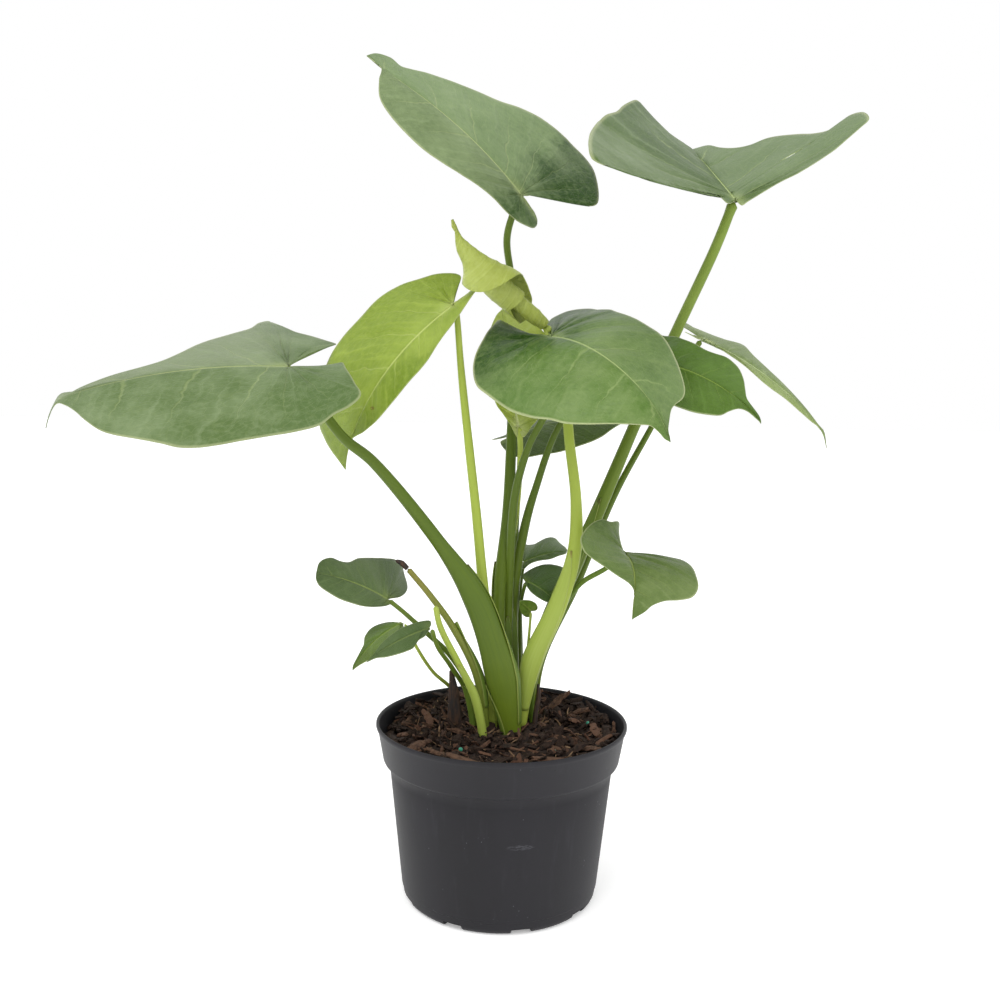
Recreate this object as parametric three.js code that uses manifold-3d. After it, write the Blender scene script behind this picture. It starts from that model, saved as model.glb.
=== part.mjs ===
// Potted swiss cheese plant: a nursery pot of soil with a young, bushy climbing aroid.
// Millimetres, +Z up. The origin is the centre of the pot's underside, and -Y is the front.
import * as THREE from 'three';
import { mergeVertices } from 'three/addons/utils/BufferGeometryUtils.js';
import Module from 'manifold-3d';

const wasm = await Module();
wasm.setup();

// Pot, a thermoformed nursery pot
const rimRadius = 85;
const potHeight = 120;
const collarHeight = 26;
const collarLowerRadius = 80;
const shoulderRadius = 76;
const baseRadius = 66;
const wall = 1.8;
const floorThickness = 2;
const baseCorner = 5;
const lipRadius = 1.5;
const lipSlope = 0.8;
const drainHoles = 9;
const drainWidth = 15;
const drainDepth = 14;
const drainHeight = 4;
const drainTurn = 3;
const potSides = 48;

// Soil
const soilHeight = 107;
const soilMound = 7;
const backRise = 7;
const riseFrom = -10;
const riseTo = 70;
const moundRadius = 70;
const reliefHeight = 1;
const reliefWaves = [0.31, 0.37, 0.83, 0.61];
const soilRings = 7;
const soilSides = 32;
const chipCount = 20;
const chipNearest = 22;
const chipSpread = 48;

// Clearances and blade thickness
const gap = 0.3;
const bladeThickness = 0.9;

// Camera that took the photograph, level with the upper leaves. Angles are in degrees, and
// focalShare is the focal length as a share of the picture's width, which is photoSize pixels.
const cameraPlace = [-1, -700, 345];
const cameraPitch = -6.1;
const cameraRoll = 0.9;
const cameraYaw = -0.2;
const focalShare = 1.056;
const photoSize = 1000;

// Reading a margin's pixels: the blade is searched on a grid of fractions of its length and half
// width, and the nearest place is moved in small steps
const searchLengths = [-0.6, 1, 64];
const searchWidths = [0.02, 1.5, 37];
const searchSteps = 12;
const longestStep = 0.04;
const damping = 1e-5;
const narrowest = 0.002;

// Sampling of a margin: fine points, and how much more densely it is cut where it bends
const edgeSteps = 400;
const bendShare = 0.6;

// Smallest detail left on a stalk after its cuts
const smallestDetail = 0.12;

// Distance from a stalk's top within which it leaves room for its blade
const jointReach = 40;

// Back lobes: how near the midrib their lift sets in, and the stretch of the length over which it
// grows, which ends in front of the joint
const lobeSpread = 0.25;
const lobeFront = 0.3;
const lobeStretch = 0.5;

// Side veins: how far forward they lean, and how much closer their roots lie than their ends
const veinLean = 0.28;
const veinDraw = 0.12;

// Finer grids of a blade wider than this, and of a stalk thicker than this
const largeBlade = 70;
const largeBladeGrid = [25, 3];
const smallBladeGrid = [14, 2];
const thickStalk = 2.5;
const thickStalkGrid = [8, 14];
const thinStalkGrid = [6, 9];
const dryTipGrid = [6, 4];
const scrollGrid = [9, 28];

// Smallest values: a divisor, a triangle's area, and a distance below which corners are one
const tiny = 1e-9;
const smallestArea = 1e-6;
const mergeDistance = 1e-3;

// Slit in a blade
const slitWidth = 2.2;
const slitDepth = 6;
const slitSteps = 6;

const materials = {
  matureLeaf: new THREE.MeshStandardMaterial({ color: 0x4b7a3c, roughness: 0.45, metalness: 0 }),
  darkLeaf: new THREE.MeshStandardMaterial({ color: 0x3d6a35, roughness: 0.5, metalness: 0 }),
  limeLeaf: new THREE.MeshStandardMaterial({ color: 0x9dbb45, roughness: 0.5, metalness: 0 }),
  petiole: new THREE.MeshStandardMaterial({ color: 0x6f9a45, roughness: 0.5, metalness: 0 }),
  limePetiole: new THREE.MeshStandardMaterial({ color: 0xa3bd58, roughness: 0.5, metalness: 0 }),
  pot: new THREE.MeshStandardMaterial({ color: 0x3a3840, roughness: 0.6, metalness: 0 }),
  soil: new THREE.MeshStandardMaterial({ color: 0x4a3126, roughness: 0.95, metalness: 0 }),
  dry: new THREE.MeshStandardMaterial({ color: 0x2c2018, roughness: 0.9, metalness: 0 }),
};

// Half of a heart-shaped blade from the stalk's joint round the lobe to the tip,
// as fractions of the blade's length and of its half width
const heartOutline = [
  [0, 0], [-0.07, 0.1], [-0.15, 0.28], [-0.2, 0.52], [-0.17, 0.76], [-0.07, 0.93], [0.08, 1.0],
  [0.26, 0.95], [0.46, 0.79], [0.64, 0.57], [0.79, 0.35], [0.89, 0.18], [0.96, 0.07], [1, 0],
];

// Blades. joint is where the stalk meets the blade and tip is the drip tip. roll turns the blade
// about its midrib, and lifts its left side. arch is the midrib's rise, and hook is how far the
// tip drops and how suddenly. wave gives the margin's ripple as height, number and phase. For
// each side, width is the half width, fold the slope at the midrib at the joint and at the tip,
// cup the further slope at the margin, lift the rise of the back lobe, and seen the margin's
// pixels in the photograph from the joint round the lobe to the tip. A side with none is hidden
// and has the heart's outline. slit is a narrow split in the right side, between two pixels. passing
// is another stalk, which goes up between this blade's lobes and has room left for it.
const blades = [
  {
    name: 'leaf_top_left', material: 'matureLeaf', joint: [7, 10, 471], tip: [-93, 0, 550],
    roll: -42, arch: 8, hook: [-4, 8], wave: [1, 2, 0],
    left: {
      width: 52, fold: [6, -4], cup: -14, lift: 0,
      seen: [
        [527, 205], [533, 210], [537, 219], [534, 228], [525, 225], [515, 219], [505, 210], [495, 199],
        [480, 187], [460, 174], [440, 162], [420, 148], [400, 128], [388, 113], [380, 98], [379, 80],
        [380, 66], [376, 60],
      ],
    },
    right: {
      width: 78, fold: [-2, -10], cup: 0, lift: 12,
      seen: [
        [526, 196], [538, 194], [552, 195], [565, 198], [580, 203], [590, 206], [597, 204], [599, 195],
        [597, 181], [592, 168], [583, 157], [570, 145], [555, 131], [540, 120], [520, 109], [500, 101],
        [480, 92], [460, 84], [440, 77], [425, 72], [410, 69], [400, 66], [392, 59], [385, 56],
        [376, 54],
      ],
    },
  },
  {
    name: 'leaf_top_right', material: 'matureLeaf', joint: [150, 20, 471], tip: [138, 140, 533],
    roll: 0, arch: 0, hook: [4, 8], wave: [1, 2, 0],
    slit: [[779, 163], [811, 144]],
    left: {
      width: 98, fold: [20, 38], cup: 10, lift: 0,
      seen: [
        [727, 203], [718, 195], [702, 188], [680, 183], [660, 179], [640, 173], [618, 166], [602, 160],
        [592, 154], [589, 146], [589, 138], [595, 127], [604, 118], [616, 113], [623, 106], [630, 102],
        [637, 101], [641, 104], [647, 113], [654, 121], [666, 131], [678, 140], [687, 146],
      ],
    },
    right: {
      width: 93, fold: [22, 18], cup: 5, lift: 0,
      seen: [
        [742, 205], [748, 201], [760, 194], [780, 182], [800, 172], [815, 163], [830, 152], [845, 140],
        [860, 128], [869, 120], [862, 115], [850, 117], [830, 130], [815, 133], [795, 133], [770, 137],
        [750, 145], [735, 148], [720, 148], [705, 146],
      ],
    },
  },
  {
    name: 'leaf_big_left', material: 'matureLeaf', joint: [-142, -10, 356], tip: [-288, -40, 331],
    roll: -20, arch: 8, hook: [16, 40], wave: [1, 2, 0],
    left: {
      width: 91, fold: [-6, -10], cup: -14, lift: 22,
      seen: [
        [298, 363], [310, 358], [325, 356], [338, 360], [347, 370], [355, 383], [360, 396], [350, 405],
        [335, 413], [320, 424], [300, 430], [270, 436], [240, 442], [220, 446], [200, 449], [180, 449],
        [160, 444], [130, 438], [115, 435], [100, 430], [85, 420], [75, 411], [65, 405], [54, 404],
      ],
    },
    right: {
      width: 88, fold: [5, -2], cup: -12, lift: 0,
      seen: [
        [294, 361], [305, 352], [315, 347], [325, 345], [336, 344], [325, 340], [310, 335], [295, 331],
        [280, 325], [270, 323], [260, 325], [250, 330], [230, 335], [205, 342], [180, 353], [160, 361],
        [140, 367], [120, 373], [100, 380], [80, 388], [68, 394], [55, 396],
      ],
    },
  },
  {
    name: 'leaf_hanging_lime', material: 'limeLeaf', joint: [-35, -4, 398], tip: [-108, 10, 297],
    roll: -54, arch: 14, hook: [9, 40], wave: [1, 2, 0],
    left: {
      width: 38, fold: [-6, -5], cup: -12, lift: 20,
      seen: [
        [450, 301], [457, 294], [463, 291], [470, 287], [478, 288], [473, 295], [462, 311], [455, 321],
        [440, 340], [425, 364], [410, 381], [395, 399], [380, 417], [365, 431], [350, 442], [341, 450],
        [340, 458],
      ],
    },
    right: {
      width: 56, fold: [10, 5], cup: -10, lift: 0,
      seen: [
        [449, 300], [455, 292], [459, 284], [461, 277], [457, 274], [448, 273], [435, 274], [420, 279],
        [400, 286], [380, 299], [360, 319], [345, 335], [332, 353], [324, 372], [319, 395], [319, 420],
        [325, 438], [332, 451], [337, 458],
      ],
    },
  },
  {
    name: 'leaf_front_centre', material: 'matureLeaf', joint: [28, -10, 378], tip: [94, -95, 325],
    roll: 24, arch: 14, hook: [10, 12], wave: [1, 2, 0],
    passing: 'stalk_rolled_lime',
    left: {
      width: 80, fold: [9, -8], cup: -24, lift: 0,
      seen: [
        [547, 331], [547, 325], [551, 319], [558, 315], [568, 311], [588, 308], [600, 309], [620, 314],
        [640, 322], [660, 335], [672, 352], [680, 370], [685, 390], [683, 398], [676, 404], [671, 410],
        [669, 420], [668, 432],
      ],
    },
    right: {
      width: 66, fold: [-4, -12], cup: -20, lift: 18,
      seen: [
        [545, 334], [540, 329], [530, 325], [515, 323], [503, 322], [493, 326], [484, 338], [475, 357],
        [473, 373], [477, 387], [487, 395], [497, 402], [510, 410], [530, 416], [550, 419], [565, 423],
        [590, 424], [620, 424], [640, 425], [650, 426], [658, 432], [664, 439],
      ],
    },
  },
  {
    name: 'leaf_low_back', material: 'darkLeaf', joint: [10, 70, 312], tip: [98, 82, 326],
    roll: 10, arch: 6, hook: [4, 8], wave: [2, 2, 0],
    left: { width: 42, fold: [-5, -4], cup: -10, lift: 0 },
    right: {
      width: 40, fold: [-16, -10], cup: -16, lift: 0,
      seen: [
        [512, 430], [503, 432], [501, 440], [506, 451], [515, 457], [528, 459], [541, 457], [554, 454],
        [580, 444], [600, 436], [612, 429],
      ],
    },
  },
  {
    name: 'leaf_right_dark', material: 'darkLeaf', joint: [90, -18, 363], tip: [158, -42, 327],
    roll: 40, arch: 10, hook: [2, 12], wave: [1, 2, 0],
    left: {
      width: 36, fold: [4, 4], cup: -10, lift: 0,
      seen: [
        [638, 335], [645, 330], [655, 333], [665, 336], [675, 336], [683, 339], [695, 344], [707, 351],
        [715, 354], [727, 358], [737, 366], [743, 378], [745, 390], [747, 400], [752, 407], [759, 417],
      ],
    },
    right: {
      width: 40, fold: [4, 4], cup: -10, lift: 0,
      seen: [
        [634, 352], [634, 365], [640, 380], [652, 393], [668, 403], [685, 409], [697, 412], [708, 414],
        [720, 415], [730, 411], [740, 409], [748, 412], [755, 418],
      ],
    },
  },
  {
    name: 'leaf_right_narrow', material: 'matureLeaf', joint: [138, 56, 381], tip: [214, 6, 316],
    roll: -2, arch: 7, hook: [8, 40], wave: [1, 2, 0],
    left: {
      width: 38, fold: [10, 4], cup: -10, lift: 0,
      seen: [
        [700, 334], [692, 331], [685, 328], [685, 322], [691, 319], [697, 322], [707, 324], [717, 332],
        [733, 342], [753, 356], [772, 373], [791, 392], [803, 405], [818, 424], [824, 431],
      ],
    },
    right: {
      width: 38, fold: [-20, -20], cup: -10, lift: 0,
      seen: [
        [699, 339], [691, 335], [685, 332], [692, 334], [699, 336], [709, 342], [728, 354], [747, 368],
        [764, 383], [786, 399], [801, 412], [811, 421], [820, 428],
      ],
    },
  },
  {
    name: 'leaf_upright_lime', material: 'limeLeaf', joint: [8, 18, 318], tip: [-4, 31, 398],
    roll: -43, arch: 0, hook: [0, 8], wave: [0, 2, 0],
    left: {
      width: 30, fold: [0, 0], cup: -10, lift: 0,
      seen: [
        [517, 437], [511, 426], [503, 414], [496, 404], [490, 385], [487, 360], [489, 335], [496, 316],
      ],
    },
    right: {
      width: 34, fold: [0, 0], cup: -10, lift: 0,
      seen: [
        [523, 437], [532, 426], [545, 410], [556, 385], [558, 355], [540, 328], [515, 313],
      ],
    },
  },
  {
    name: 'leaf_small_left', material: 'darkLeaf', joint: [-75, -30, 208], tip: [-117, -52, 229],
    roll: -42, arch: 3, hook: [1, 8], wave: [1, 2, 0],
    left: {
      width: 24, fold: [6, 0], cup: -10, lift: 0,
      seen: [
        [398, 602], [394, 604], [385, 606], [372, 607], [360, 606], [350, 603], [340, 599],
        [330, 593], [320, 586], [316, 579],
      ],
    },
    right: {
      width: 30, fold: [0, 0], cup: -10, lift: 0,
      seen: [
        [400, 597], [406, 592], [408, 585], [406, 576], [402, 567], [394, 562], [385, 560],
        [370, 558], [358, 558], [348, 562], [340, 561], [332, 558], [325, 559], [319, 563],
      ],
    },
  },
  {
    name: 'leaf_small_tip', material: 'darkLeaf', joint: [-64, -36, 194], tip: [-93, -60, 170],
    roll: 0, arch: 4, hook: [1, 8], wave: [0.5, 2, 0],
    left: {
      width: 14, fold: [8, 4], cup: -10, lift: 0,
      seen: [
        [403, 634], [397, 642], [388, 650], [380, 655], [370, 659], [361, 664],
      ],
    },
    right: {
      width: 14, fold: [8, 4], cup: -10, lift: 0,
      seen: [
        [404, 627], [396, 623], [388, 622], [378, 625], [370, 630], [365, 636], [363, 646], [358, 656],
        [353, 666],
      ],
    },
  },
  {
    name: 'leaf_small_fold', material: 'darkLeaf', joint: [-46, -46, 193], tip: [-82, -78, 180],
    roll: -25, arch: 3, hook: [1, 8], wave: [0.5, 2, 0],
    left: {
      width: 17, fold: [10, 10], cup: -10, lift: 0,
      seen: [
        [424, 637], [419, 640], [416, 644], [412, 649], [405, 652], [395, 655], [385, 657], [376, 658],
      ],
    },
    right: {
      width: 17, fold: [10, 10], cup: -10, lift: 0,
      seen: [
        [431, 630], [431, 625], [429, 621], [420, 622], [410, 625], [400, 629], [390, 636], [382, 643],
        [375, 652],
      ],
    },
  },
  {
    name: 'leaf_small_right', material: 'matureLeaf', joint: [78, -14, 238], tip: [79, -62, 208],
    roll: -22, arch: 9, hook: [4, 12], wave: [1, 2, 0],
    left: {
      width: 52, fold: [24, 10], cup: -24, lift: 0,
      seen: [
        [624, 552], [640, 554], [660, 557], [680, 559], [690, 565], [696, 577], [698, 588], [693, 597],
        [680, 600], [665, 601], [652, 606], [645, 612],
      ],
    },
    right: {
      width: 34, fold: [10, 0], cup: 6, lift: 24,
      seen: [
        [619, 549], [621, 541], [618, 530], [610, 522], [600, 520], [590, 525], [583, 533], [581, 540],
        [585, 550], [592, 557], [600, 563], [610, 570], [620, 577], [630, 584], [637, 592], [640, 602],
        [639, 611],
      ],
    },
  },
  {
    name: 'leaf_inner_upper', material: 'darkLeaf', joint: [14, 46, 221], tip: [45, 54, 228],
    roll: 20, arch: 2, hook: [1, 8], wave: [0.5, 2, 0],
    left: {
      width: 15, fold: [0, 0], cup: -10, lift: 0,
      seen: [
        [522, 558], [521, 552], [522, 546], [526, 543], [536, 543], [546, 540], [556, 540], [564, 544],
        [567, 550],
      ],
    },
    right: {
      width: 17, fold: [0, 0], cup: -10, lift: 0,
      seen: [
        [523, 562], [522, 565], [522, 568], [524, 569], [530, 564], [538, 561], [550, 559], [558, 556],
        [565, 554],
      ],
    },
  },
  {
    name: 'leaf_inner_lower', material: 'darkLeaf', joint: [15, 20, 212], tip: [36, 14, 199],
    roll: 25, arch: 2, hook: [1, 8], wave: [0.5, 2, 0],
    passing: 'stalk_top_right',
    left: {
      width: 17, fold: [0, 0], cup: -5, lift: 0,
      seen: [
        [522, 577], [524, 574], [530, 570], [538, 566], [548, 563], [558, 564], [566, 569], [569, 580],
        [566, 593],
      ],
    },
    right: {
      width: 20, fold: [0, 0], cup: -5, lift: 0,
      seen: [
        [525, 583], [528, 588], [532, 593], [539, 598], [547, 602], [553, 603],
      ],
    },
  },
  {
    name: 'leaf_inner_bud', material: 'darkLeaf', joint: [19, 16, 192], tip: [11, 10, 200],
    roll: 65, arch: 1, hook: [0, 8], wave: [0, 2, 0],
    left: { width: 6, fold: [10, 10], cup: -10, lift: 0 },
    right: { width: 6, fold: [10, 10], cup: -10, lift: 0 },
  },
];

// Young leaf still rolled up round a curved axis from its stalk to its tip, which is axis. At
// fractions of the length, radii are those of the outer margin and turns is how often the blade
// goes round. From the inner margin, 0, to the outer one, 1, reach is the share of that radius
// and mouth is the fraction of the length at which the blade begins. start is an angle.
const scroll = {
  name: 'leaf_rolled_lime', start: 5,
  axis: [
    [25, 2, 386], [12, -3, 396], [0, -8, 405], [-12, -12, 414], [-21, -15, 426], [-30, -17, 437],
    [-36, -18, 450]],
  radii: [
    [0, 15], [0.1, 22], [0.4, 21], [0.5, 19], [0.58, 16.2], [0.632, 11.9], [0.708, 8.5], [0.794, 6.4],
    [0.87, 3], [0.91, 1.6], [0.95, 2.4], [1, 1]],
  turns: [[0, 3], [0.45, 3], [0.6, 2.2], [0.7, 1.6], [0.8, 1.2], [0.9, 0.9], [1, 0.5]],
  reach: [[0, 0.16], [0.333, 0.26], [0.583, 0.36], [0.75, 0.55], [0.87, 0.75], [1, 1]],
  mouth: [
    [0, 0.006], [0.333, 0.006], [0.4, 0.12], [0.5, 0.26], [0.583, 0.25], [0.64, 0.27], [0.69, 0.13],
    [0.75, 0.08], [0.79, 0.15], [0.833, 0.32], [0.917, 0.44], [1, 0.58]],
};

// Stalks from the soil to the blade: each point is x, y, z and the two half widths, across the
// front view and in depth. Low on a stalk its sheath makes it wide.
const stalks = [
  {
    name: 'stalk_big_left', blade: 'leaf_big_left', material: 'petiole', path: [
      [8, -8, 100, 5.5, 5], [5.5, -8, 122, 7.5, 6], [0.5, -10, 150, 11.5, 6.5],
      [-5.5, -13, 172, 10.2, 5.5], [-19, -17, 208, 8.2, 4.6], [-42, -20, 243, 4.6, 4],
      [-86, -20, 296, 3.6, 3.6], [-105, -19, 311, 3.3, 3.3], [-128, -14, 340, 3, 3],
      [-142, -10, 356, 2.6, 2.6]],
  },
  {
    name: 'stalk_rolled_lime', blade: 'leaf_rolled_lime', material: 'limePetiole', path: [
      [12.5, 3, 100, 3, 3.5], [15, 2, 130, 4.2, 4], [20, 0, 160, 7.2, 5], [36.5, -3, 200, 6, 4.8],
      [46.5, -4, 236, 4.7, 4.2], [47, -4, 270, 3.7, 3.7], [42, 1, 310, 3.4, 3.4],
      [38, 7, 346, 3.1, 3.1], [31, 8, 370, 2.7, 2.7], [25, 2, 386, 2.4, 2.4]],
  },
  {
    name: 'stalk_top_left', blade: 'leaf_top_left', material: 'petiole', path: [
      [0, 12, 100, 4.2, 4], [-2, 12, 150, 4.4, 4], [-3, 14, 205, 4.5, 4], [2, 24, 256, 4.2, 3.8],
      [4, 38, 318, 3.6, 3.4], [6, 40, 370, 3, 3], [1.5, 32, 420, 2.4, 2.4], [-1.5, 20, 445, 2.4, 2.4],
      [6, 11, 470, 2.3, 2.3]],
  },
  {
    name: 'stalk_hanging_lime', blade: 'leaf_hanging_lime', material: 'limePetiole', path: [
      [-6, 3, 100, 3.4, 3.4], [-7, 3, 150, 3.6, 3.4], [-13.5, 0, 208, 3.6, 3.4],
      [-19, 0, 260, 3.1, 3.1], [-24.5, 1, 305, 3, 3], [-30.5, 1, 357, 2.3, 2.3], [-33, 0, 386, 2, 2],
      [-34, -3, 397, 1.7, 1.7]],
  },
  {
    name: 'stalk_front_centre', blade: 'leaf_front_centre', material: 'petiole', path: [
      [3, 21, 100, 3.6, 3.6], [3, 20, 160, 3.6, 3.6], [4, 16, 220, 3.2, 3.2], [6.5, 10, 272, 2.8, 2.8],
      [15, 3, 306, 2.5, 2.5], [26, -4, 330, 2.3, 2.3], [30, -8, 358, 2.2, 2.2], [28, -10, 378, 2, 2]],
  },
  {
    name: 'stalk_right_dark', blade: 'leaf_right_dark', material: 'petiole', path: [
      [9, 22, 100, 3.6, 3.6], [7, 24, 160, 3.8, 3.8], [7, 24, 205, 4, 3.8], [14, 23, 250, 3.2, 3.2],
      [20.5, 22, 275, 2.6, 2.6], [36, 16, 320, 2.2, 2.2], [56, 4, 344, 2, 2], [76, -10, 357, 1.9, 1.9],
      [89, -18, 362, 1.8, 1.8]],
  },
  {
    name: 'stalk_upright_lime', blade: 'leaf_upright_lime', material: 'limePetiole', path: [
      [-4, 31, 100, 2.8, 2.8], [-2, 31, 160, 2.8, 2.8], [1.5, 30, 215, 2.4, 2.4],
      [8, 31, 260, 2.2, 2.2], [10, 27, 300, 2, 2], [9, 18, 318, 1.8, 1.8]],
  },
  {
    name: 'stalk_top_right', blade: 'leaf_top_right', material: 'petiole', path: [
      [19, 18, 100, 4.5, 4.5], [18, 18, 130, 4.8, 4.5], [28.5, 17, 175, 5.5, 4.8],
      [48.5, 16, 225, 5.6, 4.6], [67, 18, 270, 4.8, 4.2], [87, 20, 320, 4, 4], [113, 20, 383, 3.6, 3.6],
      [138, 21, 440, 3.4, 3.4], [149, 21, 470, 3.2, 3.2]],
  },
  {
    name: 'stalk_right_narrow', blade: 'leaf_right_narrow', material: 'petiole', path: [
      [23, 28, 100, 2.6, 2.6], [26.5, 30, 150, 2.8, 2.8], [52, 32, 210, 2.8, 2.8],
      [76, 36, 270, 2.4, 2.4], [104, 46, 322, 2, 2], [124, 55, 360, 1.8, 1.8], [137, 57, 380, 1.7, 1.7]],
  },
  {
    name: 'stalk_low_back', blade: 'leaf_low_back', material: 'petiole', path: [
      [4, 38, 100, 2.4, 2.4], [5, 40, 170, 2.4, 2.4], [8, 48, 240, 2, 2], [10, 60, 290, 1.8, 1.8],
      [10, 69, 311, 1.6, 1.6]],
  },
  {
    name: 'stalk_small_left', blade: 'leaf_small_left', material: 'petiole', path: [
      [-17, 8, 100, 2.2, 2.2], [-22, 3, 140, 2.2, 2.2], [-35, -6, 165, 1.9, 1.9],
      [-51, -20, 184.5, 1.7, 1.7], [-66, -27, 200, 1.5, 1.5], [-73.9, -29.6, 207, 1.4, 1.4]],
  },
  {
    name: 'stalk_small_tip', blade: 'leaf_small_tip', material: 'limePetiole', path: [
      [-28, 24, 100, 1.3, 1.3], [-32, 20, 130, 1.3, 1.3], [-47.5, 2, 152, 1.2, 1.2],
      [-58, -24, 178, 1.1, 1.1], [-63, -36, 193, 1, 1]],
  },
  {
    name: 'stalk_small_fold', blade: 'leaf_small_fold', material: 'petiole', path: [
      [-17, 0, 100, 1.8, 1.8], [-23, -4, 137, 1.8, 1.8], [-33.5, -20, 161, 1.6, 1.6],
      [-42, -35, 178.5, 1.4, 1.4], [-45, -46, 192, 1.3, 1.3]],
  },
  {
    name: 'stalk_small_right', blade: 'leaf_small_right', material: 'petiole', path: [
      [22, 9.5, 100, 2, 2], [21, 9.5, 140, 2, 2], [37, 7, 190, 2, 2], [51, 0, 214, 1.8, 1.8],
      [68.5, -11, 228, 1.6, 1.6], [78, -14, 238, 1.5, 1.5]],
  },
  {
    name: 'stalk_inner_upper', blade: 'leaf_inner_upper', material: 'petiole', path: [
      [15, 36, 100, 1.6, 1.6], [13, 41, 160, 1.5, 1.5], [12, 47, 200, 1.3, 1.3], [14, 46, 220, 1.1, 1.1]],
  },
  {
    name: 'stalk_inner_lower', blade: 'leaf_inner_lower', material: 'petiole', path: [
      [13, 31, 100, 1.6, 1.6], [12, 32, 160, 1.5, 1.5], [12, 27, 193, 1.3, 1.3], [15, 20, 211, 1.1, 1.1]],
  },
  {
    name: 'stalk_inner_bud', blade: 'leaf_inner_bud', material: 'limePetiole', path: [
      [14, 10, 100, 1.2, 1.2], [16, 9, 150, 1.1, 1.1], [18, 10, 178, 0.9, 0.9], [19, 16, 191, 0.8, 0.8]],
  },
  {
    name: 'stalk_broken', material: 'petiole', path: [
      [-10, -5, 100, 2.8, 2.8], [-15.5, -8, 150, 3.6, 3], [-33, -14, 186, 2.4, 2.2],
      [-48, -21, 209, 2, 2], [-62, -26, 227, 1.8, 1.8]],
  },
  {
    name: 'stalk_stub', material: 'limePetiole', path: [
      [-10, -14, 100, 2.4, 2.4], [-18, -16, 140, 2.4, 2.4], [-29, -21, 164, 2.2, 2.2],
      [-41, -27, 190, 2, 2], [-44, -28, 203.5, 1.8, 1.8]],
  },
  {
    name: 'sheath_dead_left', material: 'dry', path: [
      [-31, 2, 100, 5, 1.6], [-32, 2, 122, 5, 1.4], [-33, 3, 138, 3.5, 1.1], [-35, 3, 153, 1.2, 0.8]],
  },
  {
    name: 'sheath_dead_right', material: 'dry', path: [
      [22.5, 3, 100, 1.6, 2.2], [23, 3, 122, 1.8, 2.4], [25, 4, 136, 1.6, 1.8], [24.5, 4, 144, 0.8, 0.8]],
  },
];

// Dried end of the broken stalk, bent over
const dryTip = {
  name: 'stalk_broken_tip', path: [
    [-62.6, -26.2, 227.5, 1.6, 1.6], [-66, -27, 231, 1.9, 1.6], [-70, -28, 233, 0.9, 0.9]],
};

// Smooth curve through points, read at parameter t from 0 to 1
function smoothCurve(points) {
  const places = points.map(([x, y, z = 0]) => new THREE.Vector3(x, y, z));
  return new THREE.CatmullRomCurve3(places, false, 'centripetal');
}

// Frame of a blade: the midrib's point, and the directions to the left and up, at a fraction u
function midribFrame(blade) {
  const joint = new THREE.Vector3(...blade.joint);
  const chord = new THREE.Vector3(...blade.tip).sub(joint);
  const along = chord.clone().normalize();
  const level = new THREE.Vector3(-along.y, along.x, 0).normalize();
  const above = along.clone().cross(level);
  const turn = THREE.MathUtils.degToRad(blade.roll);
  const left = level.clone().multiplyScalar(Math.cos(turn)).addScaledVector(above, Math.sin(turn));
  const up = above.clone().multiplyScalar(Math.cos(turn)).addScaledVector(level, -Math.sin(turn));
  return { joint, chord, left, up };
}

// Camera's right, up and forward directions
function viewAxes() {
  const [pitch, roll, yaw] = [cameraPitch, cameraRoll, cameraYaw].map(THREE.MathUtils.degToRad);
  const forward = new THREE.Vector3(Math.sin(yaw), Math.cos(yaw), Math.tan(pitch)).normalize();
  const level = forward.clone().cross(new THREE.Vector3(0, 0, 1)).normalize();
  const above = level.clone().cross(forward);
  const right = level.clone().multiplyScalar(Math.cos(roll)).addScaledVector(above, Math.sin(roll));
  const up = above.clone().multiplyScalar(Math.cos(roll)).addScaledVector(level, -Math.sin(roll));
  return { right, up, forward };
}

const view = viewAxes();

// Pixel of the photograph at which a point lies
function photoPixel(point) {
  const away = point.clone().sub(new THREE.Vector3(...cameraPlace));
  const depth = away.dot(view.forward);
  const across = photoSize * (0.5 + (focalShare * away.dot(view.right)) / depth);
  return [across, photoSize * (0.5 - (focalShare * away.dot(view.up)) / depth)];
}

// Point of a blade's middle surface at a fraction u of its length and v of its half width,
// which is positive on the left. ripple scales the margin's wave.
function bladePoint(blade, frame, u, v, edgeTurn, ripple = 1) {
  const bow = 4 * u * (1 - Math.max(u, 0));
  const side = v >= 0 ? blade.left : blade.right;
  const inward = Math.min(Math.max(u, 0), 1);
  const fold = THREE.MathUtils.degToRad(side.fold[0] + (side.fold[1] - side.fold[0]) * inward);
  const reach = Math.abs(v) * side.width;
  const slope = fold + THREE.MathUtils.degToRad(side.cup) * (Math.abs(v) / 2);
  const [height, count, phase] = blade.wave;
  const turn = 2 * Math.PI * count * edgeTurn + phase + (v < 0 ? 2 : 0);
  const wave = ripple * height * v * v * Math.sin(turn);
  const spread = ((1 + lobeSpread) * Math.abs(v)) / (lobeSpread + Math.abs(v));
  const raised = side.lift * spread * (Math.max(0, lobeFront - u) / lobeStretch) ** 2;
  const point = frame.joint.clone().addScaledVector(frame.chord, u);
  point.addScaledVector(frame.up, blade.arch * bow + reach * Math.sin(slope) + wave + raised);
  point.addScaledVector(frame.left, Math.sign(v) * reach * Math.cos(slope));
  const [drop, sharpness] = blade.hook;
  point.z -= drop * Math.max(u, 0) ** sharpness;
  return point;
}

// Even values between two ends
function spaced([low, high, steps]) {
  return Array.from({ length: steps + 1 }, (_, i) => low + ((high - low) * i) / steps);
}

// Pixels of a grid of places on one half of a blade
function searchGrid(blade, frame, side) {
  const places = spaced(searchWidths).flatMap((v) => spaced(searchLengths).map((u) => [u, side * v]));
  return places.map((place) => ({ place, pixel: photoPixel(bladePoint(blade, frame, ...place, 0, 0)) }));
}

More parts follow.
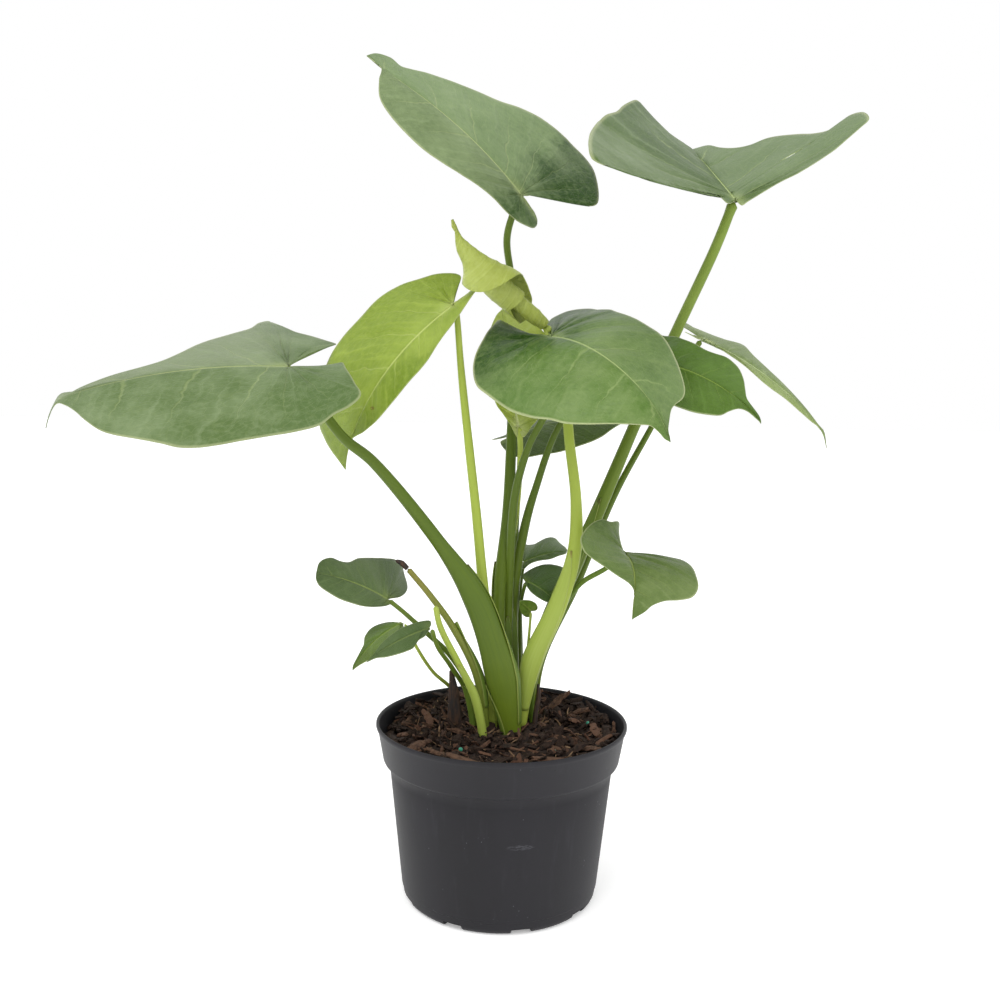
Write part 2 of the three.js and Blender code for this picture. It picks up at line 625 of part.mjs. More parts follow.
// Fractions u and v of the blade's point that the photograph shows at a pixel
function bladePlace(blade, frame, side, grid, target) {
  const distance = ([x, y]) => Math.hypot(x - target[0], y - target[1]);
  let [u, v] = grid.reduce((best, mark) => (distance(mark.pixel) < distance(best.pixel) ? mark : best)).place;
  const step = 1e-4;
  const seenAt = (p, q) => photoPixel(bladePoint(blade, frame, p, q, 0, 0));
  for (let round = 0; round < searchSteps; round += 1) {
    const here = seenAt(u, v);
    const byLength = seenAt(u + step, v).map((value, i) => (value - here[i]) / step);
    const byWidth = seenAt(u, v + step).map((value, i) => (value - here[i]) / step);
    const miss = here.map((value, i) => target[i] - value);
    const dot = (p, q) => p[0] * q[0] + p[1] * q[1];
    const [a, b, d] = [dot(byLength, byLength), dot(byLength, byWidth), dot(byWidth, byWidth)];
    const soft = damping * (a + d);
    const scale = (a + soft) * (d + soft) - b * b;
    const [e, f] = [dot(byLength, miss), dot(byWidth, miss)];
    const moveU = ((d + soft) * e - b * f) / scale;
    const moveV = ((a + soft) * f - b * e) / scale;
    const limit = Math.min(1, longestStep / Math.max(Math.abs(moveU), Math.abs(moveV), tiny));
    u += moveU * limit;
    v = side * Math.max(side * (v + moveV * limit), narrowest);
  }
  return [u, v];
}

// Value of a rising sequence's partner at a place, read between its points
function between(place, from, to) {
  let i = 1;
  while (i < from.length - 1 && from[i] < place) i += 1;
  const share = (place - from[i - 1]) / Math.max(from[i] - from[i - 1], tiny);
  return to[i - 1] + (to[i] - to[i - 1]) * Math.min(Math.max(share, 0), 1);
}

// Margin of one half, from the joint round the lobe to the tip, in steps that shorten where it bends
function bladeEdge(blade, frame, side, rows) {
  const { seen } = side > 0 ? blade.left : blade.right;
  let outline = heartOutline;
  if (seen) {
    const grid = searchGrid(blade, frame, side);
    const marks = seen.map((target) => bladePlace(blade, frame, side, grid, target));
    outline = [[0, 0], ...marks.map(([u, v]) => [u, Math.abs(v)]), [1, 0]];
  }
  const curve = smoothCurve(outline);
  const turns = spaced([0, 1, edgeSteps]);
  const fine = turns.map((t) => curve.getPoint(t));
  const places = fine.map(({ x, y }, i) => bladePoint(blade, frame, x, side * y, turns[i]));
  const steps = places.slice(1).map((place, i) => place.clone().sub(places[i]));
  const length = steps.reduce((sum, step) => sum + step.length(), 0);
  const bends = steps.map((step, i) => (i > 0 ? step.angleTo(steps[i - 1]) : 0));
  const bend = bends.reduce((sum, angle) => sum + angle, 0);
  const run = [0];
  steps.forEach((step, i) => run.push(run[i] + step.length() / length + (bendShare * bends[i]) / bend));
  const us = fine.map(({ x }) => x);
  const vs = fine.map(({ y }) => Math.max(y, 0));
  return spaced([0, run[edgeSteps], rows]).map((place) => [between(place, run, us), between(place, run, vs)]);
}

// Grid of one blade as positions and triangles, with rows from the midrib to the margin
function bladeSheet(blade, rows, columns) {
  const frame = midribFrame(blade);
  const points = [];
  const indices = new Map();
  const triangles = [];
  function vertex(u, v, edgeTurn) {
    const key = `${u.toFixed(4)},${v.toFixed(4)}`;
    if (!indices.has(key)) {
      indices.set(key, points.length);
      points.push(bladePoint(blade, frame, u, v, edgeTurn));
    }
    return indices.get(key);
  }
  const edges = [1, -1].map((side) => bladeEdge(blade, frame, side, rows));
  const roots = [];
  for (let row = 0; row <= rows; row += 1) {
    const [left, right] = edges.map((edge) => {
      const [u, v] = edge[row];
      return Math.max(0, u - veinLean * v) * (1 - veinDraw * v);
    });
    roots.push(Math.min(1, Math.max((left + right) / 2, roots[row - 1] ?? 0)));
  }
  roots[rows] = 1;
  for (const [half, side] of [1, -1].entries()) {
    const grid = edges[half].map(([edgeU, edgeV], row) => spaced([0, 1, columns]).map((s) => (
      vertex(roots[row] + (edgeU - roots[row]) * s, side * edgeV * s, row / rows))));
    for (let row = 0; row < rows; row += 1) {
      for (let column = 0; column < columns; column += 1) {
        const [a, b] = grid[row].slice(column, column + 2);
        const [d, c] = grid[row + 1].slice(column, column + 2);
        for (const [p, q, r] of [[a, b, c], [a, c, d]]) {
          if (p === q || q === r || p === r) continue;
          triangles.push(side > 0 ? [p, r, q] : [p, q, r]);
        }
      }
    }
  }
  return { points, triangles };
}

// Thin lens-shaped prism through the blade's right side, which leaves the slit
function slitCutter(blade) {
  const frame = midribFrame(blade);
  const grid = searchGrid(blade, frame, -1);
  const [[u, v], [farU, farV]] = blade.slit.map((target) => bladePlace(blade, frame, -1, grid, target));
  const start = bladePoint(blade, frame, u, v, 0, 0);
  const along = bladePoint(blade, frame, farU, farV, 0, 0).sub(start);
  const step = 0.01;
  const byLength = bladePoint(blade, frame, u + step, v, 0, 0).sub(start);
  const byWidth = bladePoint(blade, frame, u, v + step, 0, 0).sub(start);
  const through = byLength.cross(byWidth).normalize();
  const across = through.clone().cross(along).normalize();
  const outline = spaced([0, 1, 2 * slitSteps]).slice(0, -1).map((turn) => {
    const share = turn < 0.5 ? 2 * turn : 2 - 2 * turn;
    const half = (turn < 0.5 ? 0.5 : -0.5) * slitWidth * Math.sin(Math.PI * share);
    return start.clone().addScaledVector(along, share).addScaledVector(across, half);
  });
  const faces = [slitDepth, -slitDepth].map((depth) => through.clone().multiplyScalar(depth));
  const corners = faces.flatMap((offset) => outline.map((corner) => corner.clone().add(offset).toArray()));
  return wasm.Manifold.hull(corners);
}

// Direction across a sheet at each of its points
function sheetNormals(sheet) {
  const normals = sheet.points.map(() => new THREE.Vector3());
  for (const triangle of sheet.triangles) {
    const [p, q, r] = triangle.map((i) => sheet.points[i]);
    const area = q.clone().sub(p).cross(r.clone().sub(p));
    for (const i of triangle) normals[i].add(area);
  }
  return normals.map((normal) => normal.normalize());
}

// Room that a stalk leaves for its blade near the joint, as thick prisms over the blade's triangles
function clearance(sheet, joint) {
  const half = bladeThickness / 2 + gap;
  const normals = sheetNormals(sheet);
  const prisms = [];
  for (const triangle of sheet.triangles) {
    const corners = triangle.map((i) => sheet.points[i]);
    if (Math.min(...corners.map((corner) => corner.distanceTo(joint))) > jointReach) continue;
    const [p, q, r] = corners;
    const across = q.clone().sub(p).cross(r.clone().sub(p));
    if (across.length() < smallestArea) continue;
    across.normalize();
    const moved = corners.flatMap((corner, k) => [across, normals[triangle[k]]].flatMap((direction) => (
      [half, -half].map((distance) => corner.clone().addScaledVector(direction, distance)))));
    prisms.push(wasm.Manifold.hull(moved.map((corner) => corner.toArray())));
  }
  return wasm.Manifold.union(prisms);
}

// Stalk cut off along the undersides of its blade's two halves at the joint, just short of them.
// A half that hangs across the stalk's foot doesn't cut it.
function belowBlade(solid, stalk, blade) {
  const { joint, chord, left, up } = midribFrame(blade);
  const along = chord.clone().addScaledVector(up, 4 * blade.arch);
  const before = new THREE.Vector3(...stalk.path[stalk.path.length - 2]).sub(joint);
  const foot = new THREE.Vector3(...stalk.path[0]).sub(joint);
  let trimmed = solid;
  for (const side of [1, -1]) {
    const fold = THREE.MathUtils.degToRad((side > 0 ? blade.left : blade.right).fold[0]);
    const across = left.clone().multiplyScalar(side * Math.cos(fold)).addScaledVector(up, Math.sin(fold));
    const normal = along.clone().cross(across).normalize();
    if (normal.dot(before) < 0) normal.negate();
    if (normal.dot(foot) < 0) continue;
    trimmed = trimmed.trimByPlane(normal.toArray(), normal.dot(joint) + bladeThickness / 2 + gap);
  }
  return trimmed;
}

// Closed solid from an open sheet: both faces share one triangulation, joined round the edge
function thicken(sheet, thickness) {
  const normals = sheetNormals(sheet);
  const count = sheet.points.length;
  const positions = [];
  for (const sign of [0.5, -0.5]) {
    sheet.points.forEach((point, i) => {
      const moved = point.clone().addScaledVector(normals[i], sign * thickness);
      positions.push(moved.x, moved.y, moved.z);
    });
  }
  const index = [];
  const edges = new Map();
  for (const [a, b, c] of sheet.triangles) {
    index.push(a, b, c, a + count, c + count, b + count);
    for (const [p, q] of [[a, b], [b, c], [c, a]]) {
      if (edges.has(`${q}_${p}`)) edges.delete(`${q}_${p}`);
      else edges.set(`${p}_${q}`, [p, q]);
    }
  }
  for (const [p, q] of edges.values()) index.push(p, q + count, q, p, p + count, q + count);
  const geometry = new THREE.BufferGeometry();
  geometry.setAttribute('position', new THREE.Float32BufferAttribute(positions, 3));
  geometry.setIndex(index);
  return geometry;
}

function toSolid(geometry) {
  const bare = geometry.clone();
  bare.deleteAttribute('normal');
  bare.deleteAttribute('uv');
  const merged = mergeVertices(bare, mergeDistance);
  return new wasm.Manifold(new wasm.Mesh({
    numProp: 3,
    vertProperties: new Float32Array(merged.attributes.position.array),
    triVerts: new Uint32Array(merged.index.array),
  }));
}

function fromSolid(solid) {
  const mesh = solid.getMesh();
  const geometry = new THREE.BufferGeometry();
  geometry.setAttribute('position', new THREE.BufferAttribute(mesh.vertProperties, 3));
  geometry.setIndex(new THREE.BufferAttribute(mesh.triVerts, 1));
  return geometry;
}

// The largest of the loose bodies that a cut leaves
function largest(solid) {
  const bodies = solid.decompose();
  return bodies.reduce((best, body) => (body.volume() > best.volume() ? body : best));
}

// One body without the slivers that cuts leave, also where a sliver only touches along an edge
function cleaned(solid) {
  return largest(toSolid(fromSolid(largest(solid.simplify(smallestDetail)))));
}

// Point of the rolled leaf at a fraction t of its axis and s from its inner to its outer margin
function scrollPoint(curve, t, s) {
  const step = 1e-3;
  const ahead = curve.getPoint(Math.min(t + step, 1)).sub(curve.getPoint(Math.max(t - step, 0))).normalize();
  const side = ahead.clone().cross(new THREE.Vector3(0, 1, 0)).normalize();
  const front = ahead.clone().cross(side);
  const [radius, turns] = [scroll.radii, scroll.turns].map((table) => readTable(table, t));
  const reach = radius * readTable(scroll.reach, s);
  const angle = THREE.MathUtils.degToRad(scroll.start) + 2 * Math.PI * turns * (1 - s);
  const point = curve.getPoint(t).addScaledVector(side, reach * Math.cos(angle));
  return point.addScaledVector(front, reach * Math.sin(angle));
}

function readTable(table, place) {
  return between(place, table.map((line) => line[0]), table.map((line) => line[1]));
}

// Rolled leaf's sheet: rows along the axis, columns round the scroll
function scrollSheet([rows, columns]) {
  const curve = smoothCurve(scroll.axis);
  const points = [];
  const triangles = [];
  for (const share of spaced([0, 1, rows])) {
    for (const s of spaced([0, 1, columns])) {
      const mouth = readTable(scroll.mouth, s);
      points.push(scrollPoint(curve, mouth + (1 - mouth) * share, s));
    }
  }
  for (let row = 0; row < rows; row += 1) {
    for (let column = 0; column < columns; column += 1) {
      const a = row * (columns + 1) + column;
      const d = a + columns + 1;
      triangles.push([a, d + 1, a + 1], [a, d, d + 1]);
    }
  }
  return { points, triangles };
}

// Stalk as a sweep of oval rings along its path, grown all round by a margin for its hole
function stalkGeometry(path, [sides, rings], margin = 0) {
  const curve = smoothCurve(path);
  const depth = new THREE.Vector3(0, 1, 0);
  const positions = [];
  const index = [];
  for (let ring = 0; ring <= rings; ring += 1) {
    const t = ring / rings;
    const place = t * (path.length - 1);
    const lower = Math.min(Math.floor(place), path.length - 2);
    const blend = place - lower;
    const [low, high] = path.slice(lower, lower + 2);
    const [wide, deep] = [3, 4].map((k) => low[k] * (1 - blend) + high[k] * blend + margin);
    const along = curve.getTangent(t);
    const across = along.clone().cross(depth).normalize();
    const back = across.clone().cross(along);
    const centre = curve.getPoint(t);
    if (margin > 0 && ring === 0) centre.addScaledVector(along, -margin);
    if (margin > 0 && ring === rings) centre.addScaledVector(along, margin);
    for (let side = 0; side < sides; side += 1) {
      const angle = (2 * Math.PI * side) / sides;
      const point = centre.clone().addScaledVector(across, wide * Math.cos(angle));
      point.addScaledVector(back, deep * Math.sin(angle));
      positions.push(point.x, point.y, point.z);
    }
  }
  for (let ring = 0; ring < rings; ring += 1) {
    for (let side = 0; side < sides; side += 1) {
      const a = ring * sides + side;
      const b = ring * sides + ((side + 1) % sides);
      index.push(a, b + sides, b, a, a + sides, b + sides);
    }
  }
  for (let side = 1; side < sides - 1; side += 1) {
    index.push(0, side, side + 1);
    const last = rings * sides;
    index.push(last, last + side + 1, last + side);
  }
  const geometry = new THREE.BufferGeometry();
  geometry.setAttribute('position', new THREE.Float32BufferAttribute(positions, 3));
  geometry.setIndex(index);
  return geometry;
}

// Pot wall, collar and floor turned round the axis
function potGeometry() {
  const shoulder = potHeight - collarHeight;
  const outside = [
    [0, 0], [baseRadius - baseCorner, 0], [baseRadius - lipRadius, lipRadius], [baseRadius, baseCorner],
    [shoulderRadius, shoulder], [collarLowerRadius, shoulder + 1], [rimRadius - 1, potHeight - 2 * lipRadius],
    [rimRadius, potHeight - lipRadius], [rimRadius - lipSlope, potHeight],
  ];
  const inside = [
    [rimRadius - wall - lipSlope, potHeight], [collarLowerRadius - wall, shoulder + 2 * lipRadius],
    [shoulderRadius - wall, shoulder - 1], [baseRadius - wall, baseCorner + 1],
    [baseRadius - baseCorner - 1, floorThickness], [0, floorThickness],
  ];
  const profile = [...outside, ...inside].map(([x, y]) => new THREE.Vector2(x, y));
  return new THREE.LatheGeometry(profile, potSides).rotateX(Math.PI / 2);
}

// Inner radius of the pot at a height
function innerRadius(height) {
  const lower = potHeight - collarHeight;
  if (height < lower) return baseRadius - wall + ((shoulderRadius - baseRadius) * height) / lower;
  const share = (height - lower) / collarHeight;
  return collarLowerRadius - wall + (rimRadius - collarLowerRadius - lipSlope) * share;
}

function pot() {
  let solid = toSolid(potGeometry());
  for (let hole = 0; hole < drainHoles; hole += 1) {
    const cutter = new THREE.BoxGeometry(drainDepth, drainWidth, drainHeight * 2);
    const turn = THREE.MathUtils.degToRad(drainTurn) + (hole * 2 * Math.PI) / drainHoles;
    cutter.translate(baseRadius, 0, 0).rotateZ(turn);
    solid = solid.subtract(toSolid(cutter));
  }
  return solid;
}

// Soil surface above the pot's floor, mounded to the middle and higher behind, with a low relief of bark
function soilTop(x, y) {
  const radius = Math.hypot(x, y);
  const mound = soilMound * Math.max(0, 1 - (radius / moundRadius) ** 2);
  const rise = backRise * THREE.MathUtils.smoothstep(y, riseFrom, riseTo);
  const [a, b, c, d] = reliefWaves;
  const relief = Math.sin(x * a + 1.3) * Math.cos(y * b) + 0.6 * Math.sin(x * c + y * d + 0.4);
  return soilHeight + mound + rise + reliefHeight * relief;
}

function soilGeometry(rings, sides) {
  const bottom = floorThickness + gap;
  const shoulder = potHeight - collarHeight;
  const outer = [
    [baseRadius - baseCorner - 2, bottom], [baseRadius - wall - gap, baseCorner + 2],
    [shoulderRadius - wall - gap, shoulder - 1], [collarLowerRadius - wall - 2 * gap, shoulder + 4],
  ];
  const positions = [0, 0, bottom];
  const index = [];
  const loops = [];
  function loop(radiusAt, heightAt) {
    const start = positions.length / 3;
    for (let side = 0; side < sides; side += 1) {
      const angle = (2 * Math.PI * side) / sides;
      const radius = radiusAt(side);
      const [x, y] = [radius * Math.cos(angle), radius * Math.sin(angle)];
      positions.push(x, y, heightAt(x, y));
    }
    loops.push(start);
  }
  for (const [radius, height] of outer) loop(() => radius, () => height);
  const rim = innerRadius(soilHeight) - 2 * gap;
  for (let ring = 0; ring < rings; ring += 1) {
    const radius = rim * (1 - ring / rings);
    loop(() => radius, soilTop);
  }
  const centre = positions.length / 3;
  positions.push(0, 0, soilTop(0, 0));
  for (let side = 0; side < sides; side += 1) {
    const next = (side + 1) % sides;
    index.push(0, loops[0] + next, loops[0] + side);
    for (let i = 0; i + 1 < loops.length; i += 1) {
      const [a, b] = [loops[i], loops[i + 1]];
      index.push(a + side, a + next, b + next, a + side, b + next, b + side);
    }
    const last = loops[loops.length - 1];
    index.push(last + side, last + next, centre);
  }
  const geometry = new THREE.BufferGeometry();
  geometry.setAttribute('position', new THREE.Float32BufferAttribute(positions, 3));
  geometry.setIndex(index);
  return geometry;
}

// Seeded random numbers
function randomSource(seed) {
  let state = seed;
  return () => {
    state = (state * 1664525 + 1013904223) % 4294967296;
    return state / 4294967296;
  };
}

// Bark chips sunk into the soil's surface at random
function barkChips() {
  const random = randomSource(7);
  const chips = [];
  for (let chip = 0; chip < chipCount; chip += 1) {
    const angle = random() * 2 * Math.PI;
    const radius = chipNearest + chipSpread * Math.sqrt(random());
    const [x, y] = [radius * Math.cos(angle), radius * Math.sin(angle)];
    const box = new THREE.BoxGeometry(6 + 9 * random(), 3 + 3 * random(), 2.4);
    box.rotateY(0.5 * (random() - 0.5)).rotateZ(random() * Math.PI).translate(x, y, soilTop(x, y) + 0.3);
    chips.push(toSolid(box));
  }
  return wasm.Manifold.union(chips);
}

const plant = new THREE.Group();

function addNode(name, geometry, material) {
  geometry.computeVertexNormals();
  const mesh = new THREE.Mesh(geometry, materials[material]);
  mesh.name = name;
  plant.add(mesh);
  return mesh;
}

const bladeSheets = new Map();
for (const blade of blades) {
  const span = blade.left.width + blade.right.width;
  const [rows, columns] = span > largeBlade ? largeBladeGrid : smallBladeGrid;
  const sheet = bladeSheet(blade, rows, columns);
  bladeSheets.set(blade.name, sheet);
  let geometry = thicken(sheet, bladeThickness);
  if (blade.slit) geometry = fromSolid(toSolid(geometry).subtract(slitCutter(blade)));
  if (blade.passing) {
    const { path } = stalks.find(({ name }) => name === blade.passing);
    const room = toSolid(stalkGeometry(path, thickStalkGrid, gap));
    geometry = fromSolid(largest(toSolid(geometry).subtract(room)));
  }
  addNode(blade.name, geometry, blade.material);
}
bladeSheets.set(scroll.name, scrollSheet(scrollGrid));
addNode(scroll.name, thicken(bladeSheets.get(scroll.name), bladeThickness), 'limeLeaf');

const holes = [];
for (const stalk of stalks) {
  const grid = stalk.path[0][3] < thickStalk ? thinStalkGrid : thickStalkGrid;
  let solid = toSolid(stalkGeometry(stalk.path, grid));
  if (stalk.blade) {
    const top = new THREE.Vector3(...stalk.path[stalk.path.length - 1]);
    const blade = blades.find(({ name }) => name === stalk.blade);
    if (blade) solid = belowBlade(solid, stalk, blade);
    const room = clearance(bladeSheets.get(stalk.blade), top);
    if (solid.intersect(room).volume() > 0) solid = solid.subtract(room);
  }
  for (const hole of holes) solid = solid.subtract(hole);
  solid = cleaned(solid);
  holes.push(toSolid(stalkGeometry(stalk.path, grid, gap)));
  addNode(stalk.name, fromSolid(solid), stalk.material);
}
addNode(dryTip.name, stalkGeometry(dryTip.path, dryTipGrid), 'dry');

addNode('pot', fromSolid(pot()), 'pot');
let soil = toSolid(soilGeometry(soilRings, soilSides)).add(barkChips());
for (const hole of holes) soil = soil.subtract(hole);
addNode('soil', fromSolid(largest(soil)), 'soil');

export default plant;
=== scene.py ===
import math
import random

import bpy
import numpy as np
from mathutils import Matrix, Vector, noise


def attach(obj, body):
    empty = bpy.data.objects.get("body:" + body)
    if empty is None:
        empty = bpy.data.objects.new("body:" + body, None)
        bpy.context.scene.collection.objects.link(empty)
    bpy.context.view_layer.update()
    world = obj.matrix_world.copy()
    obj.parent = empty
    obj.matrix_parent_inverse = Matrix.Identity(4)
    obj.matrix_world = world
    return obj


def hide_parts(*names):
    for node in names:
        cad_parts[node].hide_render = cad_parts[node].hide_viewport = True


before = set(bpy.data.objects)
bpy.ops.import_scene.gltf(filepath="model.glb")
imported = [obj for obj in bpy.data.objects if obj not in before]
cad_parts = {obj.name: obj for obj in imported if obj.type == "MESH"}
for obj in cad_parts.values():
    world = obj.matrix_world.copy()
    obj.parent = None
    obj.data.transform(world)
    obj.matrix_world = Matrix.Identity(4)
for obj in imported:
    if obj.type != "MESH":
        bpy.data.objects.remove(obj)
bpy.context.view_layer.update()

MM = 0.001
BODY = "root"

# Camera of the photograph, worked out from the pot's rim and foot, in millimetres and degrees
CAMERA_PLACE = (-1, -700, 345)
CAMERA_PITCH = 6.1
CAMERA_ROLL = 0.9
CAMERA_YAW = -0.2
FOCAL_SHARE = 1.056
SENSOR = 36
PHOTO_SIZE = 1000

# Pot
RIM_RADIUS = 85
POT_HEIGHT = 120
COLLAR_HEIGHT = 26
COLLAR_FOOT = POT_HEIGHT - COLLAR_HEIGHT
COLLAR_LOWER_RADIUS = 80
SHOULDER_RADIUS = 76
BASE_RADIUS = 66
WALL = 1.8
FLOOR = 2
BASE_CORNER = 5
LIP_SLOPE = 0.8
DRAIN_HOLES = 9
DRAIN_WIDTH = 15
DRAIN_DEPTH = 14
DRAIN_HEIGHT = 4
DRAIN_BELOW = -5
DRAIN_TURN = 3
POT_SEGMENTS = 192
POT_SHARP = 38

# Soil
SOIL_HEIGHT = 107
SOIL_MOUND = 7
BACK_RISE = 7
RISE_FROM = -10
RISE_TO = 70
MOUND_RADIUS = 70
RELIEF_WAVES = (0.31, 0.37, 0.83, 0.61)
SOIL_RINGS = 90
SOIL_SIDES = 220
SOIL_GAP = 0.3
COLLAR_GAP = 0.6
CLOD_SIZE = 7
CLOD_HEIGHT = 1.5
CRUMB_SIZE = 2.6
CRUMB_HEIGHT = 1.6

# Loose bark: the disc it is strewn over, its distance from the rim, its rises and the spread of its
# twist, and how far a flake bends and how ragged it is, as fractions of its length
STREWN_RADIUS = 76
RIM_CLEARANCE = 4.5
STREWN_RISES = (-0.4, 1.8)
STREWN_TWIST = 0.5
FLAKE_BEND = 0.12
FLAKE_RAGGED = 0.08

# Chips banked against the wall: turns round the pot in radians, radii and rises
BANKED_CHIPS = 110
BANK_TURNS = (-0.5, 3.6)
BANK_RADII = (70, 77)
BANK_RISES = (0.5, 6)

# Blades are thinner than their solids, and lie in the middle of them
BLADE_THICKNESS = 0.5
EDGE_STEPS = 400
BEND_SHARE = 0.6
COLUMN_POWER = 1.45
EDGE_WAVES = 2

# Meshes: rows for each side vein and columns of a blade whose halves are together wider than
# LARGE_BLADE or not, and rings and sides of stalks by their thickness
LARGE_BLADE = 70
LARGE_MESH = (13, 26)
SMALL_MESH = (9, 14)
THICK_MESH = (84, 32)
THIN_MESH = (40, 16)
END_MESH = (16, 14)
THIN_STALK = 2.5

# Search for a mark of the photograph on a blade, in fractions of its length and of its half width
SEARCH_LENGTHS = (-0.6, 1, 65)
SEARCH_WIDTHS = (0.02, 1.5, 38)
SEARCH_ROUNDS = 12
SEARCH_STEP = 1e-4
SEARCH_DAMPING = 1e-5
LONGEST_MOVE = 0.04
LEAST_WIDTH = 0.002

# Back lobes: how near the midrib their lift sets in, and the stretch over which it grows
LOBE_SPREAD = 0.25
LOBE_FRONT = 0.3
LOBE_STRETCH = 0.5

# Side veins: how far forward they lean, how much closer their roots lie than their ends, how they
# bow, and how sharply and how deep they sink between the puckers
VEIN_LEAN = 0.28
VEIN_DRAW = 0.12
VEIN_BOW = 1.12
VEIN_SHARPNESS = 2.2
VEIN_SINK = 1.6

# Broad unevenness of a blade: its size, and its height as a share of the puckers'
UNEVEN_SIZE = 34
UNEVEN_SHARE = 1.3

# Midrib: its width at the tip and its gain to the joint, the length from which a blade has it all,
# its furrow above and its swelling below
RIB_TIP = 0.6
RIB_GAIN = 1.5
RIB_BLADE = 120
RIB_SINK = 0.35
RIB_SWELL = 0.75

# Lens-shaped slit in a blade
SLIT_WIDTH = 2.2
SLIT_DEPTH = 6
SLIT_STEPS = 6

# Rolled leaf: side veins, their slant and their swelling, and half its thickness
SCROLL_ROWS = 110
SCROLL_COLUMNS = 170
SCROLL_VEINS = 15
SCROLL_SLANT = 3
SCROLL_SWELL = 0.22
SCROLL_HALF = 0.25

# Stalks: the joint's swelling under a blade, the channel behind, the rounded end, the unevenness, and
# texture units per millimetre
JOINT_SWELL = 0.16
JOINT_REACH = 5
CHANNEL_DEPTH = 0.16
CHANNEL_WIDTH = 0.5
END_ROUND = 1.2
END_SHARE = 0.3
WANDER = 0.06
LENGTH_UNIT = 0.01

# Sheaths: half their thickness, their gap from the stalk, and rows and columns of their mesh
SHEATH_HALF = 0.25
SHEATH_GAP = 0.2
SHEATH_RINGS = 40
SHEATH_COLUMNS = 16

# Half of a heart-shaped blade from the joint round the lobe to the tip,
# as fractions of the blade's length and of its half width
HEART = [
    (0, 0), (-0.07, 0.1), (-0.15, 0.28), (-0.2, 0.52), (-0.17, 0.76), (-0.07, 0.93), (0.08, 1.0),
    (0.26, 0.95), (0.46, 0.79), (0.64, 0.57), (0.79, 0.35), (0.89, 0.18), (0.96, 0.07), (1, 0),
]


def half(width, fold, end_fold, cup, lift, marks=()):
    """Half of a blade: its half width, its folds at the joint and the tip, its cup, the lift of its back
    lobe, and its margin in the photograph where it shows, as x and y of one pixel after another"""
    seen = list(zip(marks[::2], marks[1::2]))
    return {
        "width": width, "fold": fold, "end_fold": end_fold, "cup": cup, "lift": lift, "seen": seen}


def leaf(name, joint, tip, roll, arch, hook, ripple, left, right, slit=()):
    """Blade between its joint and its tip: its roll, the arch of its midrib, the drop of its tip with
    its sharpness, the ripple of its margin, its halves, and the two pixels that a slit joins"""
    return {
        "name": name, "joint": joint, "tip": tip, "roll": roll, "arch": arch, "hook": hook,
        "ripple": ripple, "left": left, "right": right, "slit": slit}


